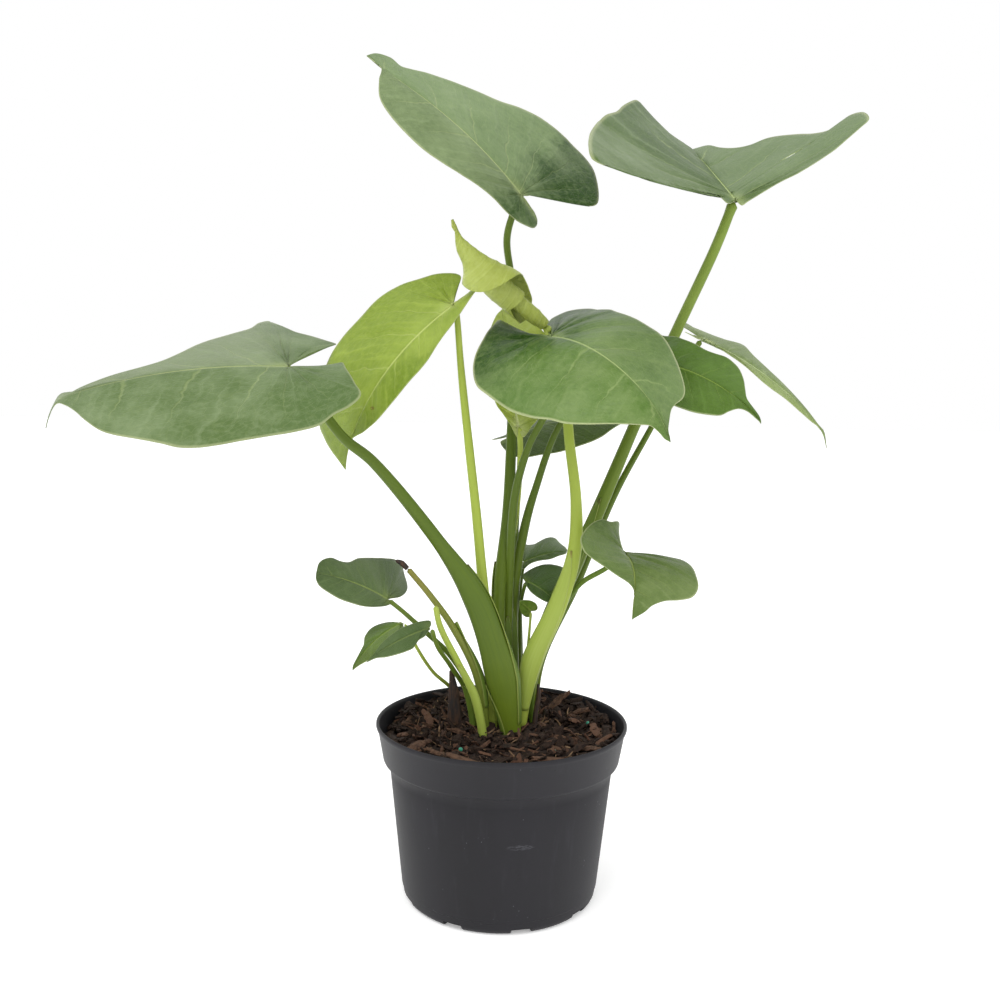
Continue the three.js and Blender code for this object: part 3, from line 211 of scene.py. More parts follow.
# Blades, with each half's margin where the photograph shows it
BLADES = [
    leaf("leaf_top_left", (7, 10, 471), (-93, 0, 550), -42, 8, (-4, 8), 1,
         half(52, 6, -4, -14, 0, [
          527, 205, 533, 210, 537, 219, 534, 228, 525, 225, 515, 219, 505, 210, 495, 199, 480, 187, 460, 174,
          440, 162, 420, 148, 400, 128, 388, 113, 380, 98, 379, 80, 380, 66, 376, 60]),
         half(78, -2, -10, 0, 12, [
          526, 196, 538, 194, 552, 195, 565, 198, 580, 203, 590, 206, 597, 204, 599, 195, 597, 181, 592, 168,
          583, 157, 570, 145, 555, 131, 540, 120, 520, 109, 500, 101, 480, 92, 460, 84, 440, 77, 425, 72,
          410, 69, 400, 66, 392, 59, 385, 56, 376, 54])),
    leaf("leaf_top_right", (150, 20, 471), (138, 140, 533), 0, 0, (4, 8), 1,
         half(98, 20, 38, 10, 0, [
          727, 203, 718, 195, 702, 188, 680, 183, 660, 179, 640, 173, 618, 166, 602, 160, 592, 154, 589, 146,
          589, 138, 595, 127, 604, 118, 616, 113, 623, 106, 630, 102, 637, 101, 641, 104, 647, 113, 654, 121,
          666, 131, 678, 140, 687, 146]),
         half(93, 22, 18, 5, 0, [
          742, 205, 748, 201, 760, 194, 780, 182, 800, 172, 815, 163, 830, 152, 845, 140, 860, 128, 869, 120,
          862, 115, 850, 117, 830, 130, 815, 133, 795, 133, 770, 137, 750, 145, 735, 148, 720, 148, 705,
          146]),
         slit=((779, 163), (811, 144))),
    leaf("leaf_big_left", (-142, -10, 356), (-288, -40, 331), -20, 8, (16, 40), 1,
         half(91, -6, -10, -14, 22, [
          298, 363, 310, 358, 325, 356, 338, 360, 347, 370, 355, 383, 360, 396, 350, 405, 335, 413, 320, 424,
          300, 430, 270, 436, 240, 442, 220, 446, 200, 449, 180, 449, 160, 444, 130, 438, 115, 435, 100, 430,
          85, 420, 75, 411, 65, 405, 54, 404]),
         half(88, 5, -2, -12, 0, [
          294, 361, 305, 352, 315, 347, 325, 345, 336, 344, 325, 340, 310, 335, 295, 331, 280, 325, 270, 323,
          260, 325, 250, 330, 230, 335, 205, 342, 180, 353, 160, 361, 140, 367, 120, 373, 100, 380, 80, 388,
          68, 394, 55, 396])),
    leaf("leaf_hanging_lime", (-35, -4, 398), (-108, 10, 297), -54, 14, (9, 40), 1,
         half(38, -6, -5, -12, 20, [
          450, 301, 457, 294, 463, 291, 470, 287, 478, 288, 473, 295, 462, 311, 455, 321, 440, 340, 425, 364,
          410, 381, 395, 399, 380, 417, 365, 431, 350, 442, 341, 450, 340, 458]),
         half(56, 10, 5, -10, 0, [
          449, 300, 455, 292, 459, 284, 461, 277, 457, 274, 448, 273, 435, 274, 420, 279, 400, 286, 380, 299,
          360, 319, 345, 335, 332, 353, 324, 372, 319, 395, 319, 420, 325, 438, 332, 451, 337, 458])),
    leaf("leaf_front_centre", (28, -10, 378), (94, -95, 325), 24, 14, (10, 12), 1,
         half(80, 9, -8, -24, 0, [
          547, 331, 547, 325, 551, 319, 558, 315, 568, 311, 588, 308, 600, 309, 620, 314, 640, 322, 660, 335,
          672, 352, 680, 370, 685, 390, 683, 398, 676, 404, 671, 410, 669, 420, 668, 432]),
         half(66, -4, -12, -20, 18, [
          545, 334, 540, 329, 530, 325, 515, 323, 503, 322, 493, 326, 484, 338, 475, 357, 473, 373, 477, 387,
          487, 395, 497, 402, 510, 410, 530, 416, 550, 419, 565, 423, 590, 424, 620, 424, 640, 425, 650, 426,
          658, 432, 664, 439])),
    leaf("leaf_low_back", (10, 70, 312), (98, 82, 326), 10, 6, (4, 8), 2,
         half(42, -5, -4, -10, 0),
         half(40, -16, -10, -16, 0, [
          512, 430, 503, 432, 501, 440, 506, 451, 515, 457, 528, 459, 541, 457, 554, 454, 580, 444, 600, 436,
          612, 429])),
    leaf("leaf_right_dark", (90, -18, 363), (158, -42, 327), 40, 10, (2, 12), 1,
         half(36, 4, 4, -10, 0, [
          638, 335, 645, 330, 655, 333, 665, 336, 675, 336, 683, 339, 695, 344, 707, 351, 715, 354, 727, 358,
          737, 366, 743, 378, 745, 390, 747, 400, 752, 407, 759, 417]),
         half(40, 4, 4, -10, 0, [
          634, 352, 634, 365, 640, 380, 652, 393, 668, 403, 685, 409, 697, 412, 708, 414, 720, 415, 730, 411,
          740, 409, 748, 412, 755, 418])),
    leaf("leaf_right_narrow", (138, 56, 381), (214, 6, 316), -2, 7, (8, 40), 1,
         half(38, 10, 4, -10, 0, [
          700, 334, 692, 331, 685, 328, 685, 322, 691, 319, 697, 322, 707, 324, 717, 332, 733, 342, 753, 356,
          772, 373, 791, 392, 803, 405, 818, 424, 824, 431]),
         half(38, -20, -20, -10, 0, [
          699, 339, 691, 335, 685, 332, 692, 334, 699, 336, 709, 342, 728, 354, 747, 368, 764, 383, 786, 399,
          801, 412, 811, 421, 820, 428])),
    leaf("leaf_upright_lime", (8, 18, 318), (-4, 31, 398), -43, 0, (0, 8), 0,
         half(30, 0, 0, -10, 0, [
          517, 437, 511, 426, 503, 414, 496, 404, 490, 385, 487, 360, 489, 335, 496, 316]),
         half(34, 0, 0, -10, 0, [
          523, 437, 532, 426, 545, 410, 556, 385, 558, 355, 540, 328, 515, 313])),
    leaf("leaf_small_left", (-75, -30, 208), (-117, -52, 229), -42, 3, (1, 8), 1,
         half(24, 6, 0, -10, 0, [
          398, 602, 394, 604, 385, 606, 372, 607, 360, 606, 350, 603, 340, 599, 330, 593, 320, 586, 316,
          579]),
         half(30, 0, 0, -10, 0, [
          400, 597, 406, 592, 408, 585, 406, 576, 402, 567, 394, 562, 385, 560, 370, 558, 358, 558, 348, 562,
          340, 561, 332, 558, 325, 559, 319, 563])),
    leaf("leaf_small_tip", (-64, -36, 194), (-93, -60, 170), 0, 4, (1, 8), 0.5,
         half(14, 8, 4, -10, 0, [
          403, 634, 397, 642, 388, 650, 380, 655, 370, 659, 361, 664]),
         half(14, 8, 4, -10, 0, [
          404, 627, 396, 623, 388, 622, 378, 625, 370, 630, 365, 636, 363, 646, 358, 656, 353, 666])),
    leaf("leaf_small_fold", (-46, -46, 193), (-82, -78, 180), -25, 3, (1, 8), 0.5,
         half(17, 10, 10, -10, 0, [
          424, 637, 419, 640, 416, 644, 412, 649, 405, 652, 395, 655, 385, 657, 376, 658]),
         half(17, 10, 10, -10, 0, [
          431, 630, 431, 625, 429, 621, 420, 622, 410, 625, 400, 629, 390, 636, 382, 643, 375, 652])),
    leaf("leaf_small_right", (78, -14, 238), (79, -62, 208), -22, 9, (4, 12), 1,
         half(52, 24, 10, -24, 0, [
          624, 552, 640, 554, 660, 557, 680, 559, 690, 565, 696, 577, 698, 588, 693, 597, 680, 600, 665, 601,
          652, 606, 645, 612]),
         half(34, 10, 0, 6, 24, [
          619, 549, 621, 541, 618, 530, 610, 522, 600, 520, 590, 525, 583, 533, 581, 540, 585, 550, 592, 557,
          600, 563, 610, 570, 620, 577, 630, 584, 637, 592, 640, 602, 639, 611])),
    leaf("leaf_inner_upper", (14, 46, 221), (45, 54, 228), 20, 2, (1, 8), 0.5,
         half(15, 0, 0, -10, 0, [
          522, 558, 521, 552, 522, 546, 526, 543, 536, 543, 546, 540, 556, 540, 564, 544, 567, 550]),
         half(17, 0, 0, -10, 0, [
          523, 562, 522, 565, 522, 568, 524, 569, 530, 564, 538, 561, 550, 559, 558, 556, 565, 554])),
    leaf("leaf_inner_lower", (15, 20, 212), (36, 14, 199), 25, 2, (1, 8), 0.5,
         half(17, 0, 0, -5, 0, [
          522, 577, 524, 574, 530, 570, 538, 566, 548, 563, 558, 564, 566, 569, 569, 580, 566, 593]),
         half(20, 0, 0, -5, 0, [
          525, 583, 528, 588, 532, 593, 539, 598, 547, 602, 553, 603])),
    leaf("leaf_inner_bud", (19, 16, 192), (11, 10, 200), 65, 1, (0, 8), 0,
         half(6, 10, 10, -10, 0),
         half(6, 10, 10, -10, 0)),
]

# Rolled leaf: axis, outer radius and turns along it, and the reach and mouth from inner to outer margin
SCROLL = {
    "name": "leaf_rolled_lime", "start": 5,
    "axis": [
        (25, 2, 386), (12, -3, 396), (0, -8, 405), (-12, -12, 414), (-21, -15, 426), (-30, -17, 437),
        (-36, -18, 450)],
    "radii": [
        (0, 15), (0.1, 22), (0.4, 21), (0.5, 19), (0.58, 16.2), (0.632, 11.9), (0.708, 8.5), (0.794, 6.4),
        (0.87, 3), (0.91, 1.6), (0.95, 2.4), (1, 1)],
    "turns": [(0, 3), (0.45, 3), (0.6, 2.2), (0.7, 1.6), (0.8, 1.2), (0.9, 0.9), (1, 0.5)],
    "reach": [(0, 0.16), (0.333, 0.26), (0.583, 0.36), (0.75, 0.55), (0.87, 0.75), (1, 1)],
    "mouth": [
        (0, 0.006), (0.333, 0.006), (0.4, 0.12), (0.5, 0.26), (0.583, 0.25), (0.64, 0.27), (0.69, 0.13),
        (0.75, 0.08), (0.79, 0.15), (0.833, 0.32), (0.917, 0.44), (1, 0.58)],
}

# Stalks from the soil to the blade: each point is x, y, z and its half width, or its half widths across
# the front view and in depth. Low on a stalk its sheath makes it wide.
STALKS = [
    ("stalk_big_left", "petiole", (8, -8, 100, 5.5, 5), (5.5, -8, 122, 7.5, 6), (0.5, -10, 150, 11.5, 6.5),
     (-5.5, -13, 172, 10.2, 5.5), (-19, -17, 208, 8.2, 4.6), (-42, -20, 243, 4.6, 4), (-86, -20, 296, 3.6),
     (-105, -19, 311, 3.3), (-128, -14, 340, 3), (-142, -10, 356, 2.6)),
    ("stalk_rolled_lime", "limePetiole", (12.5, 3, 100, 3, 3.5), (15, 2, 130, 4.2, 4), (20, 0, 160, 7.2, 5),
     (36.5, -3, 200, 6, 4.8), (46.5, -4, 236, 4.7, 4.2), (47, -4, 270, 3.7), (42, 1, 310, 3.4),
     (38, 7, 346, 3.1), (31, 8, 370, 2.7), (25, 2, 386, 2.4)),
    ("stalk_top_left", "petiole", (0, 12, 100, 4.2, 4), (-2, 12, 150, 4.4, 4), (-3, 14, 205, 4.5, 4),
     (2, 24, 256, 4.2, 3.8), (4, 38, 318, 3.6, 3.4), (6, 40, 370, 3), (1.5, 32, 420, 2.4),
     (-1.5, 20, 445, 2.4), (6, 11, 470, 2.3)),
    ("stalk_hanging_lime", "limePetiole", (-6, 3, 100, 3.4), (-7, 3, 150, 3.6, 3.4),
     (-13.5, 0, 208, 3.6, 3.4), (-19, 0, 260, 3.1), (-24.5, 1, 305, 3), (-30.5, 1, 357, 2.3),
     (-33, 0, 386, 2), (-34, -3, 397, 1.7)),
    ("stalk_front_centre", "petiole", (3, 21, 100, 3.6), (3, 20, 160, 3.6), (4, 16, 220, 3.2),
     (6.5, 10, 272, 2.8), (15, 3, 306, 2.5), (26, -4, 330, 2.3), (30, -8, 358, 2.2), (28, -10, 378, 2)),
    ("stalk_right_dark", "petiole", (9, 22, 100, 3.6), (7, 24, 160, 3.8), (7, 24, 205, 4, 3.8),
     (14, 23, 250, 3.2), (20.5, 22, 275, 2.6), (36, 16, 320, 2.2), (56, 4, 344, 2), (76, -10, 357, 1.9),
     (89, -18, 362, 1.8)),
    ("stalk_upright_lime", "limePetiole", (-4, 31, 100, 2.8), (-2, 31, 160, 2.8), (1.5, 30, 215, 2.4),
     (8, 31, 260, 2.2), (10, 27, 300, 2), (9, 18, 318, 1.8)),
    ("stalk_top_right", "petiole", (19, 18, 100, 4.5), (18, 18, 130, 4.8, 4.5), (28.5, 17, 175, 5.5, 4.8),
     (48.5, 16, 225, 5.6, 4.6), (67, 18, 270, 4.8, 4.2), (87, 20, 320, 4), (113, 20, 383, 3.6),
     (138, 21, 440, 3.4), (149, 21, 470, 3.2)),
    ("stalk_right_narrow", "petiole", (23, 28, 100, 2.6), (26.5, 30, 150, 2.8), (52, 32, 210, 2.8),
     (76, 36, 270, 2.4), (104, 46, 322, 2), (124, 55, 360, 1.8), (137, 57, 380, 1.7)),
    ("stalk_low_back", "petiole", (4, 38, 100, 2.4), (5, 40, 170, 2.4), (8, 48, 240, 2), (10, 60, 290, 1.8),
     (10, 69, 311, 1.6)),
    ("stalk_small_left", "petiole", (-17, 8, 100, 2.2), (-22, 3, 140, 2.2), (-35, -6, 165, 1.9),
     (-51, -20, 184.5, 1.7), (-66, -27, 200, 1.5), (-73.9, -29.6, 207, 1.4)),
    ("stalk_small_tip", "limePetiole", (-28, 24, 100, 1.3), (-32, 20, 130, 1.3), (-47.5, 2, 152, 1.2),
     (-58, -24, 178, 1.1), (-63, -36, 193, 1)),
    ("stalk_small_fold", "petiole", (-17, 0, 100, 1.8), (-23, -4, 137, 1.8), (-33.5, -20, 161, 1.6),
     (-42, -35, 178.5, 1.4), (-45, -46, 192, 1.3)),
    ("stalk_small_right", "petiole", (22, 9.5, 100, 2), (21, 9.5, 140, 2), (37, 7, 190, 2),
     (51, 0, 214, 1.8), (68.5, -11, 228, 1.6), (78, -14, 238, 1.5)),
    ("stalk_inner_upper", "petiole", (15, 36, 100, 1.6), (13, 41, 160, 1.5), (12, 47, 200, 1.3),
     (14, 46, 220, 1.1)),
    ("stalk_inner_lower", "petiole", (13, 31, 100, 1.6), (12, 32, 160, 1.5), (12, 27, 193, 1.3),
     (15, 20, 211, 1.1)),
    ("stalk_inner_bud", "limePetiole", (14, 10, 100, 1.2), (16, 9, 150, 1.1), (18, 10, 178, 0.9),
     (19, 16, 191, 0.8)),
    ("stalk_broken", "petiole", (-10, -5, 100, 2.8), (-15.5, -8, 150, 3.6, 3), (-33, -14, 186, 2.4, 2.2),
     (-48, -21, 209, 2), (-62, -26, 227, 1.8)),
    ("stalk_stub", "limePetiole", (-10, -14, 100, 2.4), (-18, -16, 140, 2.4), (-29, -21, 164, 2.2),
     (-41, -27, 190, 2), (-44, -28, 203.5, 1.8)),
    ("sheath_dead_left", "dry", (-31, 2, 100, 5, 1.6), (-32, 2, 122, 5, 1.4), (-33, 3, 138, 3.5, 1.1),
     (-35, 3, 153, 1.2, 0.8)),
    ("sheath_dead_right", "dry", (22.5, 3, 100, 1.6, 2.2), (23, 3, 122, 1.8, 2.4), (25, 4, 136, 1.6, 1.8),
     (24.5, 4, 144, 0.8)),
    ("stalk_broken_tip", "dry", (-62.6, -26.2, 227.5, 1.6), (-66, -27, 231, 1.9, 1.6),
     (-70, -28, 233, 0.9)),
]

# Stalks that end without a blade
BARE = ("stalk_broken", "stalk_stub", "sheath_dead_left", "sheath_dead_right", "stalk_broken_tip")


# Curves and frames

def curve_at(points, t):
    """Points of a smooth curve through the given points, at parameters t from 0 to 1"""
    points = np.asarray(points, float)
    place = np.clip(np.asarray(t, float), 0, 1) * (len(points) - 1)
    lower = np.clip(np.floor(place).astype(int), 0, len(points) - 2)
    share = (place - lower)[:, None]
    padded = np.vstack([2 * points[0] - points[1], points, 2 * points[-1] - points[-2]])
    a, b, c, d = (padded[lower + k] for k in range(4))
    before, here, after = (
        np.maximum(np.sqrt(np.linalg.norm(q - p, axis=1)), 1e-4)[:, None]
        for p, q in ((a, b), (b, c), (c, d)))
    start = ((b - a) / before - (c - a) / (before + here) + (c - b) / here) * here
    end = ((c - b) / here - (d - b) / (here + after) + (d - c) / after) * here
    return (
        b + start * share + (3 * (c - b) - 2 * start - end) * share ** 2
        + (2 * (b - c) + start + end) * share ** 3
    )


def unit(vectors):
    return vectors / np.maximum(np.linalg.norm(vectors, axis=-1, keepdims=True), 1e-9)


def smooth(low, high, value):
    share = np.clip((value - low) / (high - low), 0, 1)
    return share * share * (3 - 2 * share)


def table_at(value, rows):
    """Value of a table of pairs between its rows"""
    return np.interp(value, *np.array(rows, float).T)


def turned_axes(first, second, degrees):
    """Two square directions, turned in their plane"""
    turn = math.radians(degrees)
    return (
        first * math.cos(turn) + second * math.sin(turn),
        second * math.cos(turn) - first * math.sin(turn))


def view_axes():
    """The camera's right, up and forward directions"""
    pitch, yaw = math.radians(CAMERA_PITCH), math.radians(CAMERA_YAW)
    forward = np.array([math.sin(yaw) * math.cos(pitch), math.cos(yaw) * math.cos(pitch), -math.sin(pitch)])
    level = unit(np.cross(forward, [0, 0, 1]))
    return *turned_axes(level, np.cross(level, forward), CAMERA_ROLL), forward


def photo_pixels(points):
    """Where points lie in the photograph, which is PHOTO_SIZE pixels wide"""
    right, up, forward = view_axes()
    away = points - np.array(CAMERA_PLACE, float)
    depth = away @ forward
    across = PHOTO_SIZE * (0.5 + FOCAL_SHARE * (away @ right) / depth)
    return np.stack([across, PHOTO_SIZE * (0.5 - FOCAL_SHARE * (away @ up) / depth)], 1)


# Meshes

def quads(rows, columns, closed=False):
    """Faces of a grid of points, row after row, whose columns run round when closed"""
    wide = columns if closed else columns + 1
    faces = []
    for row in range(rows):
        for column in range(columns):
            a, b = row * wide + column, row * wide + (column + 1) % wide
            faces.append((a, a + wide, b + wide, b))
    return faces


def caps(low, sides, last):
    """Fans from points low and low + 1 to the first ring and to the ring that begins at last"""
    faces = []
    for side in range(sides):
        after = (side + 1) % sides
        faces += [(low, side, after), (low + 1, last + after, last + side)]
    return faces


def ring_places(radius, count):
    turns = [2 * math.pi * i / count for i in range(count)]
    return [(radius * math.cos(turn), radius * math.sin(turn)) for turn in turns]


def make_object(name, points, faces, materials, uvs=None, face_materials=None, smooth_shaded=True):
    """Mesh object from points in millimetres, with UV layers given for each face corner"""
    mesh = bpy.data.meshes.new(name)
    mesh.from_pydata((np.asarray(points) * MM).tolist(), [], faces)
    for material in materials:
        mesh.materials.append(material)
    if face_materials is not None:
        mesh.polygons.foreach_set("material_index", face_materials)
    for layer_name, values in (uvs or {}).items():
        layer = mesh.uv_layers.new(name=layer_name)
        layer.data.foreach_set("uv", np.asarray(values, float).ravel())
    mesh.polygons.foreach_set("use_smooth", [smooth_shaded] * len(mesh.polygons))
    mesh.validate()
    mesh.update()
    piece = bpy.data.objects.new(name, mesh)
    bpy.context.scene.collection.objects.link(piece)
    return piece


def settle(piece, slot, *nodes):
    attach(piece, BODY)
    if nodes:
        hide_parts(*nodes)


def cut_away(piece, cutter, sharp=None, folded=False):
    """Take the cutter's volume out of a piece, which may cross itself when folded, and mark edges
    sharper than an angle"""
    modifier = piece.modifiers.new("holes", "BOOLEAN")
    modifier.operation = "DIFFERENCE"
    modifier.solver = "EXACT"
    modifier.use_self = folded
    modifier.object = cutter
    graph = bpy.context.evaluated_depsgraph_get()
    mesh = bpy.data.meshes.new_from_object(piece.evaluated_get(graph))
    piece.modifiers.clear()
    piece.data = mesh
    bpy.data.objects.remove(cutter)
    mesh.polygons.foreach_set("use_smooth", [True] * len(mesh.polygons))
    if sharp:
        mesh.set_sharp_from_angle(angle=math.radians(sharp))


def thicken(points, sheet, upper, lower):
    """Both faces of a sheet at distances above and below it, and the strip round its edge"""
    points = np.asarray(points)
    normals = np.zeros_like(points)
    for face in sheet:
        corners = points[list(face)]
        area = np.cross(corners[1] - corners[0], corners[2] - corners[0])
        if len(face) == 4:
            area = area + np.cross(corners[2] - corners[0], corners[3] - corners[0])
        normals[list(face)] += area
    normals = unit(normals)
    count = len(points)
    both = np.vstack([points + normals * upper[:, None], points - normals * lower[:, None]])
    edges = {}
    for number, face in enumerate(sheet):
        for corner in range(len(face)):
            p, q = face[corner], face[(corner + 1) % len(face)]
            if (q, p) in edges:
                del edges[(q, p)]
            else:
                edges[(p, q)] = (number, corner)
    under = [tuple(i + count for i in reversed(face)) for face in sheet]
    rim = [(q, p, p + count, q + count) for p, q in edges]
    return both, under, rim, edges


def sheet_corners(values, edges):
    """Values at the corners of a thickened sheet's faces, undersides and rim, from its own faces'"""
    corners = [corner for face in values for corner in face]
    corners += [corner for face in values for corner in reversed(face)]
    for number, corner in edges.values():
        first, second = values[number][corner], values[number][(corner + 1) % len(values[number])]
        corners += [second, first, first, second]
    return corners


def sheet_object(name, points, faces, upper, lower, materials, layers):
    """Thickened sheet with its second material below, and UV layers by the corners of its faces"""
    both, under, rim, edges = thicken(points, faces, upper, lower)
    slots = [0] * len(faces) + [1] * len(under) + [0] * len(rim)
    uvs = {layer: sheet_corners(values, edges) for layer, values in layers.items()}
    return make_object(name, both, faces + under + rim, materials, uvs, slots)


# Blades

def blade_half(blade, side):
    return blade["left"] if side > 0 else blade["right"]


def blade_points(blade, u, v, edge_turn):
    """Middle surface of a blade at fractions u of its length and v of its half width"""
    joint = np.array(blade["joint"], float)
    chord = np.array(blade["tip"], float) - joint
    along = unit(chord)
    level = unit(np.array([-along[1], along[0], 0]))
    left, up = turned_axes(level, np.cross(along, level), blade["roll"])
    width, fold, end_fold, cup, lift = (
        np.where(v >= 0, blade["left"][name], blade["right"][name])
        for name in ("width", "fold", "end_fold", "cup", "lift"))
    slope = np.radians(fold + (end_fold - fold) * np.clip(u, 0, 1)) + np.radians(cup) * np.abs(v) / 2
    reach = np.abs(v) * width
    bow = 4 * u * (1 - np.maximum(u, 0))
    swing = np.sin(2 * np.pi * EDGE_WAVES * edge_turn + np.where(v < 0, 2, 0))
    spread = (1 + LOBE_SPREAD) * np.abs(v) / (LOBE_SPREAD + np.abs(v))
    raised = lift * spread * (np.maximum(0, LOBE_FRONT - u) / LOBE_STRETCH) ** 2
    height = blade["arch"] * bow + reach * np.sin(slope) + blade["ripple"] * v * v * swing + raised
    points = joint + u[:, None] * chord + height[:, None] * up
    points = points + (np.sign(v) * reach * np.cos(slope))[:, None] * left
    drop, sharpness = blade["hook"]
    points[:, 2] -= drop * np.maximum(u, 0) ** sharpness
    return points


def blade_place(blade, side, pixel):
    """Fractions u and v of the blade's point that the photograph shows at a pixel"""
    still = {**blade, "ripple": 0}
    u, v = (
        grid.ravel()
        for grid in np.meshgrid(np.linspace(*SEARCH_LENGTHS), side * np.linspace(*SEARCH_WIDTHS)))
    far = np.linalg.norm(photo_pixels(blade_points(still, u, v, v)) - pixel, axis=1)
    best = np.array([u[far.argmin()], v[far.argmin()]])
    for _ in range(SEARCH_ROUNDS):
        tries = best + np.array([(0, 0), (SEARCH_STEP, 0), (0, SEARCH_STEP)])
        seen = photo_pixels(blade_points(still, tries[:, 0], tries[:, 1], tries[:, 1]))
        slopes = np.stack([seen[1] - seen[0], seen[2] - seen[0]], 1) / SEARCH_STEP
        square = slopes.T @ slopes
        damped = square + SEARCH_DAMPING * np.trace(square) * np.eye(2)
        move = np.linalg.solve(damped, slopes.T @ (np.array(pixel) - seen[0]))
        best = best + move * min(1, LONGEST_MOVE / max(np.abs(move).max(), 1e-9))
        best[1] = side * max(side * best[1], LEAST_WIDTH)
    return best


def blade_edge(blade, side, count):
    """Margin of one half, from the joint round the lobe to the tip, in steps that shorten where it bends"""
    marks = [blade_place(blade, side, pixel) for pixel in blade_half(blade, side)["seen"]]
    outline = [(0, 0)] + [(u, abs(v)) for u, v in marks] + [(1, 0)] if marks else HEART
    turn = np.linspace(0, 1, EDGE_STEPS + 1)
    fine = curve_at(outline, turn)
    steps = np.diff(blade_points(blade, fine[:, 0], side * fine[:, 1], turn), axis=0)
    lengths = np.linalg.norm(steps, axis=1)
    turns = np.arccos(np.clip(np.sum(unit(steps[1:]) * unit(steps[:-1]), axis=1), -1, 1))
    bends = BEND_SHARE * np.append(0, turns) / turns.sum()
    run = np.cumsum(np.append(0, lengths / lengths.sum() + bends))
    even = np.linspace(0, run[-1], count + 1)
    return np.stack([np.interp(even, run, fine[:, 0]), np.interp(even, run, np.maximum(fine[:, 1], 0))], 1)


def blade_grid(blade, rows, spread):
    """Both halves as grids of u and v, with rows from the midrib to the margin"""
    edges = {side: blade_edge(blade, side, rows) for side in (1, -1)}
    roots = [
        np.maximum(0, edge[:, 0] - VEIN_LEAN * edge[:, 1]) * (1 - VEIN_DRAW * edge[:, 1])
        for edge in edges.values()]
    root = np.clip(np.maximum.accumulate(np.mean(roots, axis=0)), 0, 1)
    root[-1] = 1
    grids = {}
    for side, edge in edges.items():
        u = root[:, None] + (edge[:, :1] - root[:, None]) * spread[None, :] ** VEIN_BOW
        grids[side] = (u, side * edge[:, 1:] * spread[None, :])
    return grids


def blade_piece(blade, rows, columns, veins, relief, materials):
    """Leaf blade with its puckers, midrib and margin"""
    points, places, faces, corner_veins, corner_lengths = [], [], [], [], []
    index = {}
    turns = np.repeat(np.linspace(0, 1, rows + 1), columns + 1)
    reach = np.linspace(0, 1, columns + 1) ** COLUMN_POWER
    for side, (u, v) in blade_grid(blade, rows, reach).items():
        flat = blade_points(blade, u.ravel(), v.ravel(), turns).reshape(rows + 1, columns + 1, 3)
        run = np.append(0, np.cumsum(np.linalg.norm(np.diff(flat[:, -1], axis=0), axis=1)))
        phase = run / run[-1] * veins + (0.5 if side < 0 else 0)
        off = v * blade_half(blade, side)["width"]
        numbers = np.zeros((rows + 1, columns + 1), int)
        for cell in np.ndindex(rows + 1, columns + 1):
            key = (round(u[cell], 5), round(v[cell], 5))
            if key not in index:
                index[key] = len(points)
                points.append(flat[cell])
                places.append((u[cell], abs(off[cell]), phase[cell[0]], reach[cell[1]]))
            numbers[cell] = index[key]
        for row, column in np.ndindex(rows, columns):
            cells = [(row, column), (row, column + 1), (row + 1, column + 1), (row + 1, column)]
            if side > 0:
                cells.reverse()
            kept = {}
            for cell in cells:
                kept.setdefault(int(numbers[cell]), cell)
            if len(kept) > 2:
                faces.append(tuple(kept))
                corner_veins.append([(phase[r], reach[c]) for r, c in kept.values()])
                corner_lengths.append([(u[cell], off[cell] * LENGTH_UNIT) for cell in kept.values()])
    along, aside, phase, share = np.array(places).T
    length = np.linalg.norm(np.array(blade["tip"]) - np.array(blade["joint"]))
    near_vein = np.abs(phase - np.round(phase)) * 2
    fade = smooth(0, 0.2, share) * (1 - 0.8 * smooth(0.4, 0.95, share)) * (1 - smooth(0.75, 1, along))
    pucker = relief * fade * (1 - (1 - near_vein) ** VEIN_SHARPNESS * VEIN_SINK)
    shift = Vector((3, 7, 1)) * len(blade["name"])
    uneven = np.array([noise.noise(Vector(point / UNEVEN_SIZE) + shift) for point in points])
    unevenness = relief * UNEVEN_SHARE * uneven * smooth(0.05, 0.4, share)
    rib_width = RIB_TIP + RIB_GAIN * np.clip(1 - along, 0, 1) * min(1, length / RIB_BLADE)
    rib = np.exp(-(aside / rib_width) ** 2) * smooth(-0.04, 0, along) * (1 - smooth(0.9, 1, along))
    upper = BLADE_THICKNESS / 2 + pucker + unevenness - RIB_SINK * rib
    lower = BLADE_THICKNESS / 2 - pucker - unevenness + rib_width * RIB_SWELL * rib
    layers = {"veins": corner_veins, "lengths": corner_lengths}
    return sheet_object("blade_" + blade["name"][5:], points, faces, upper, lower, materials, layers)


def slit_cutter(blade):
    """Thin lens-shaped prism through the blade's right side between two pixels"""
    (u, v), (far_u, far_v) = (blade_place(blade, -1, pixel) for pixel in blade["slit"])
    step = 0.01
    us, vs = np.array([u, far_u, u + step, u]), np.array([v, far_v, v, v + step])
    start, end, by_length, by_width = blade_points({**blade, "ripple": 0}, us, vs, vs * 0)
    through = unit(np.cross(by_length - start, by_width - start))
    across = unit(np.cross(through, end - start))
    outline = []
    for turn in np.arange(2 * SLIT_STEPS) / (2 * SLIT_STEPS):
        share = 2 * turn if turn < 0.5 else 2 - 2 * turn
        wide = (0.5 if turn < 0.5 else -0.5) * SLIT_WIDTH * math.sin(math.pi * share)
        outline.append(start + (end - start) * share + across * wide)
    count = len(outline)
    points = [point + through * depth for depth in (SLIT_DEPTH, -SLIT_DEPTH) for point in outline]
    faces = [tuple(reversed(range(count))), tuple(range(count, 2 * count))]
    faces += [(i, (i + 1) % count, (i + 1) % count + count, i + count) for i in range(count)]
    return make_object("slit", points, faces, [])


# Rolled leaf

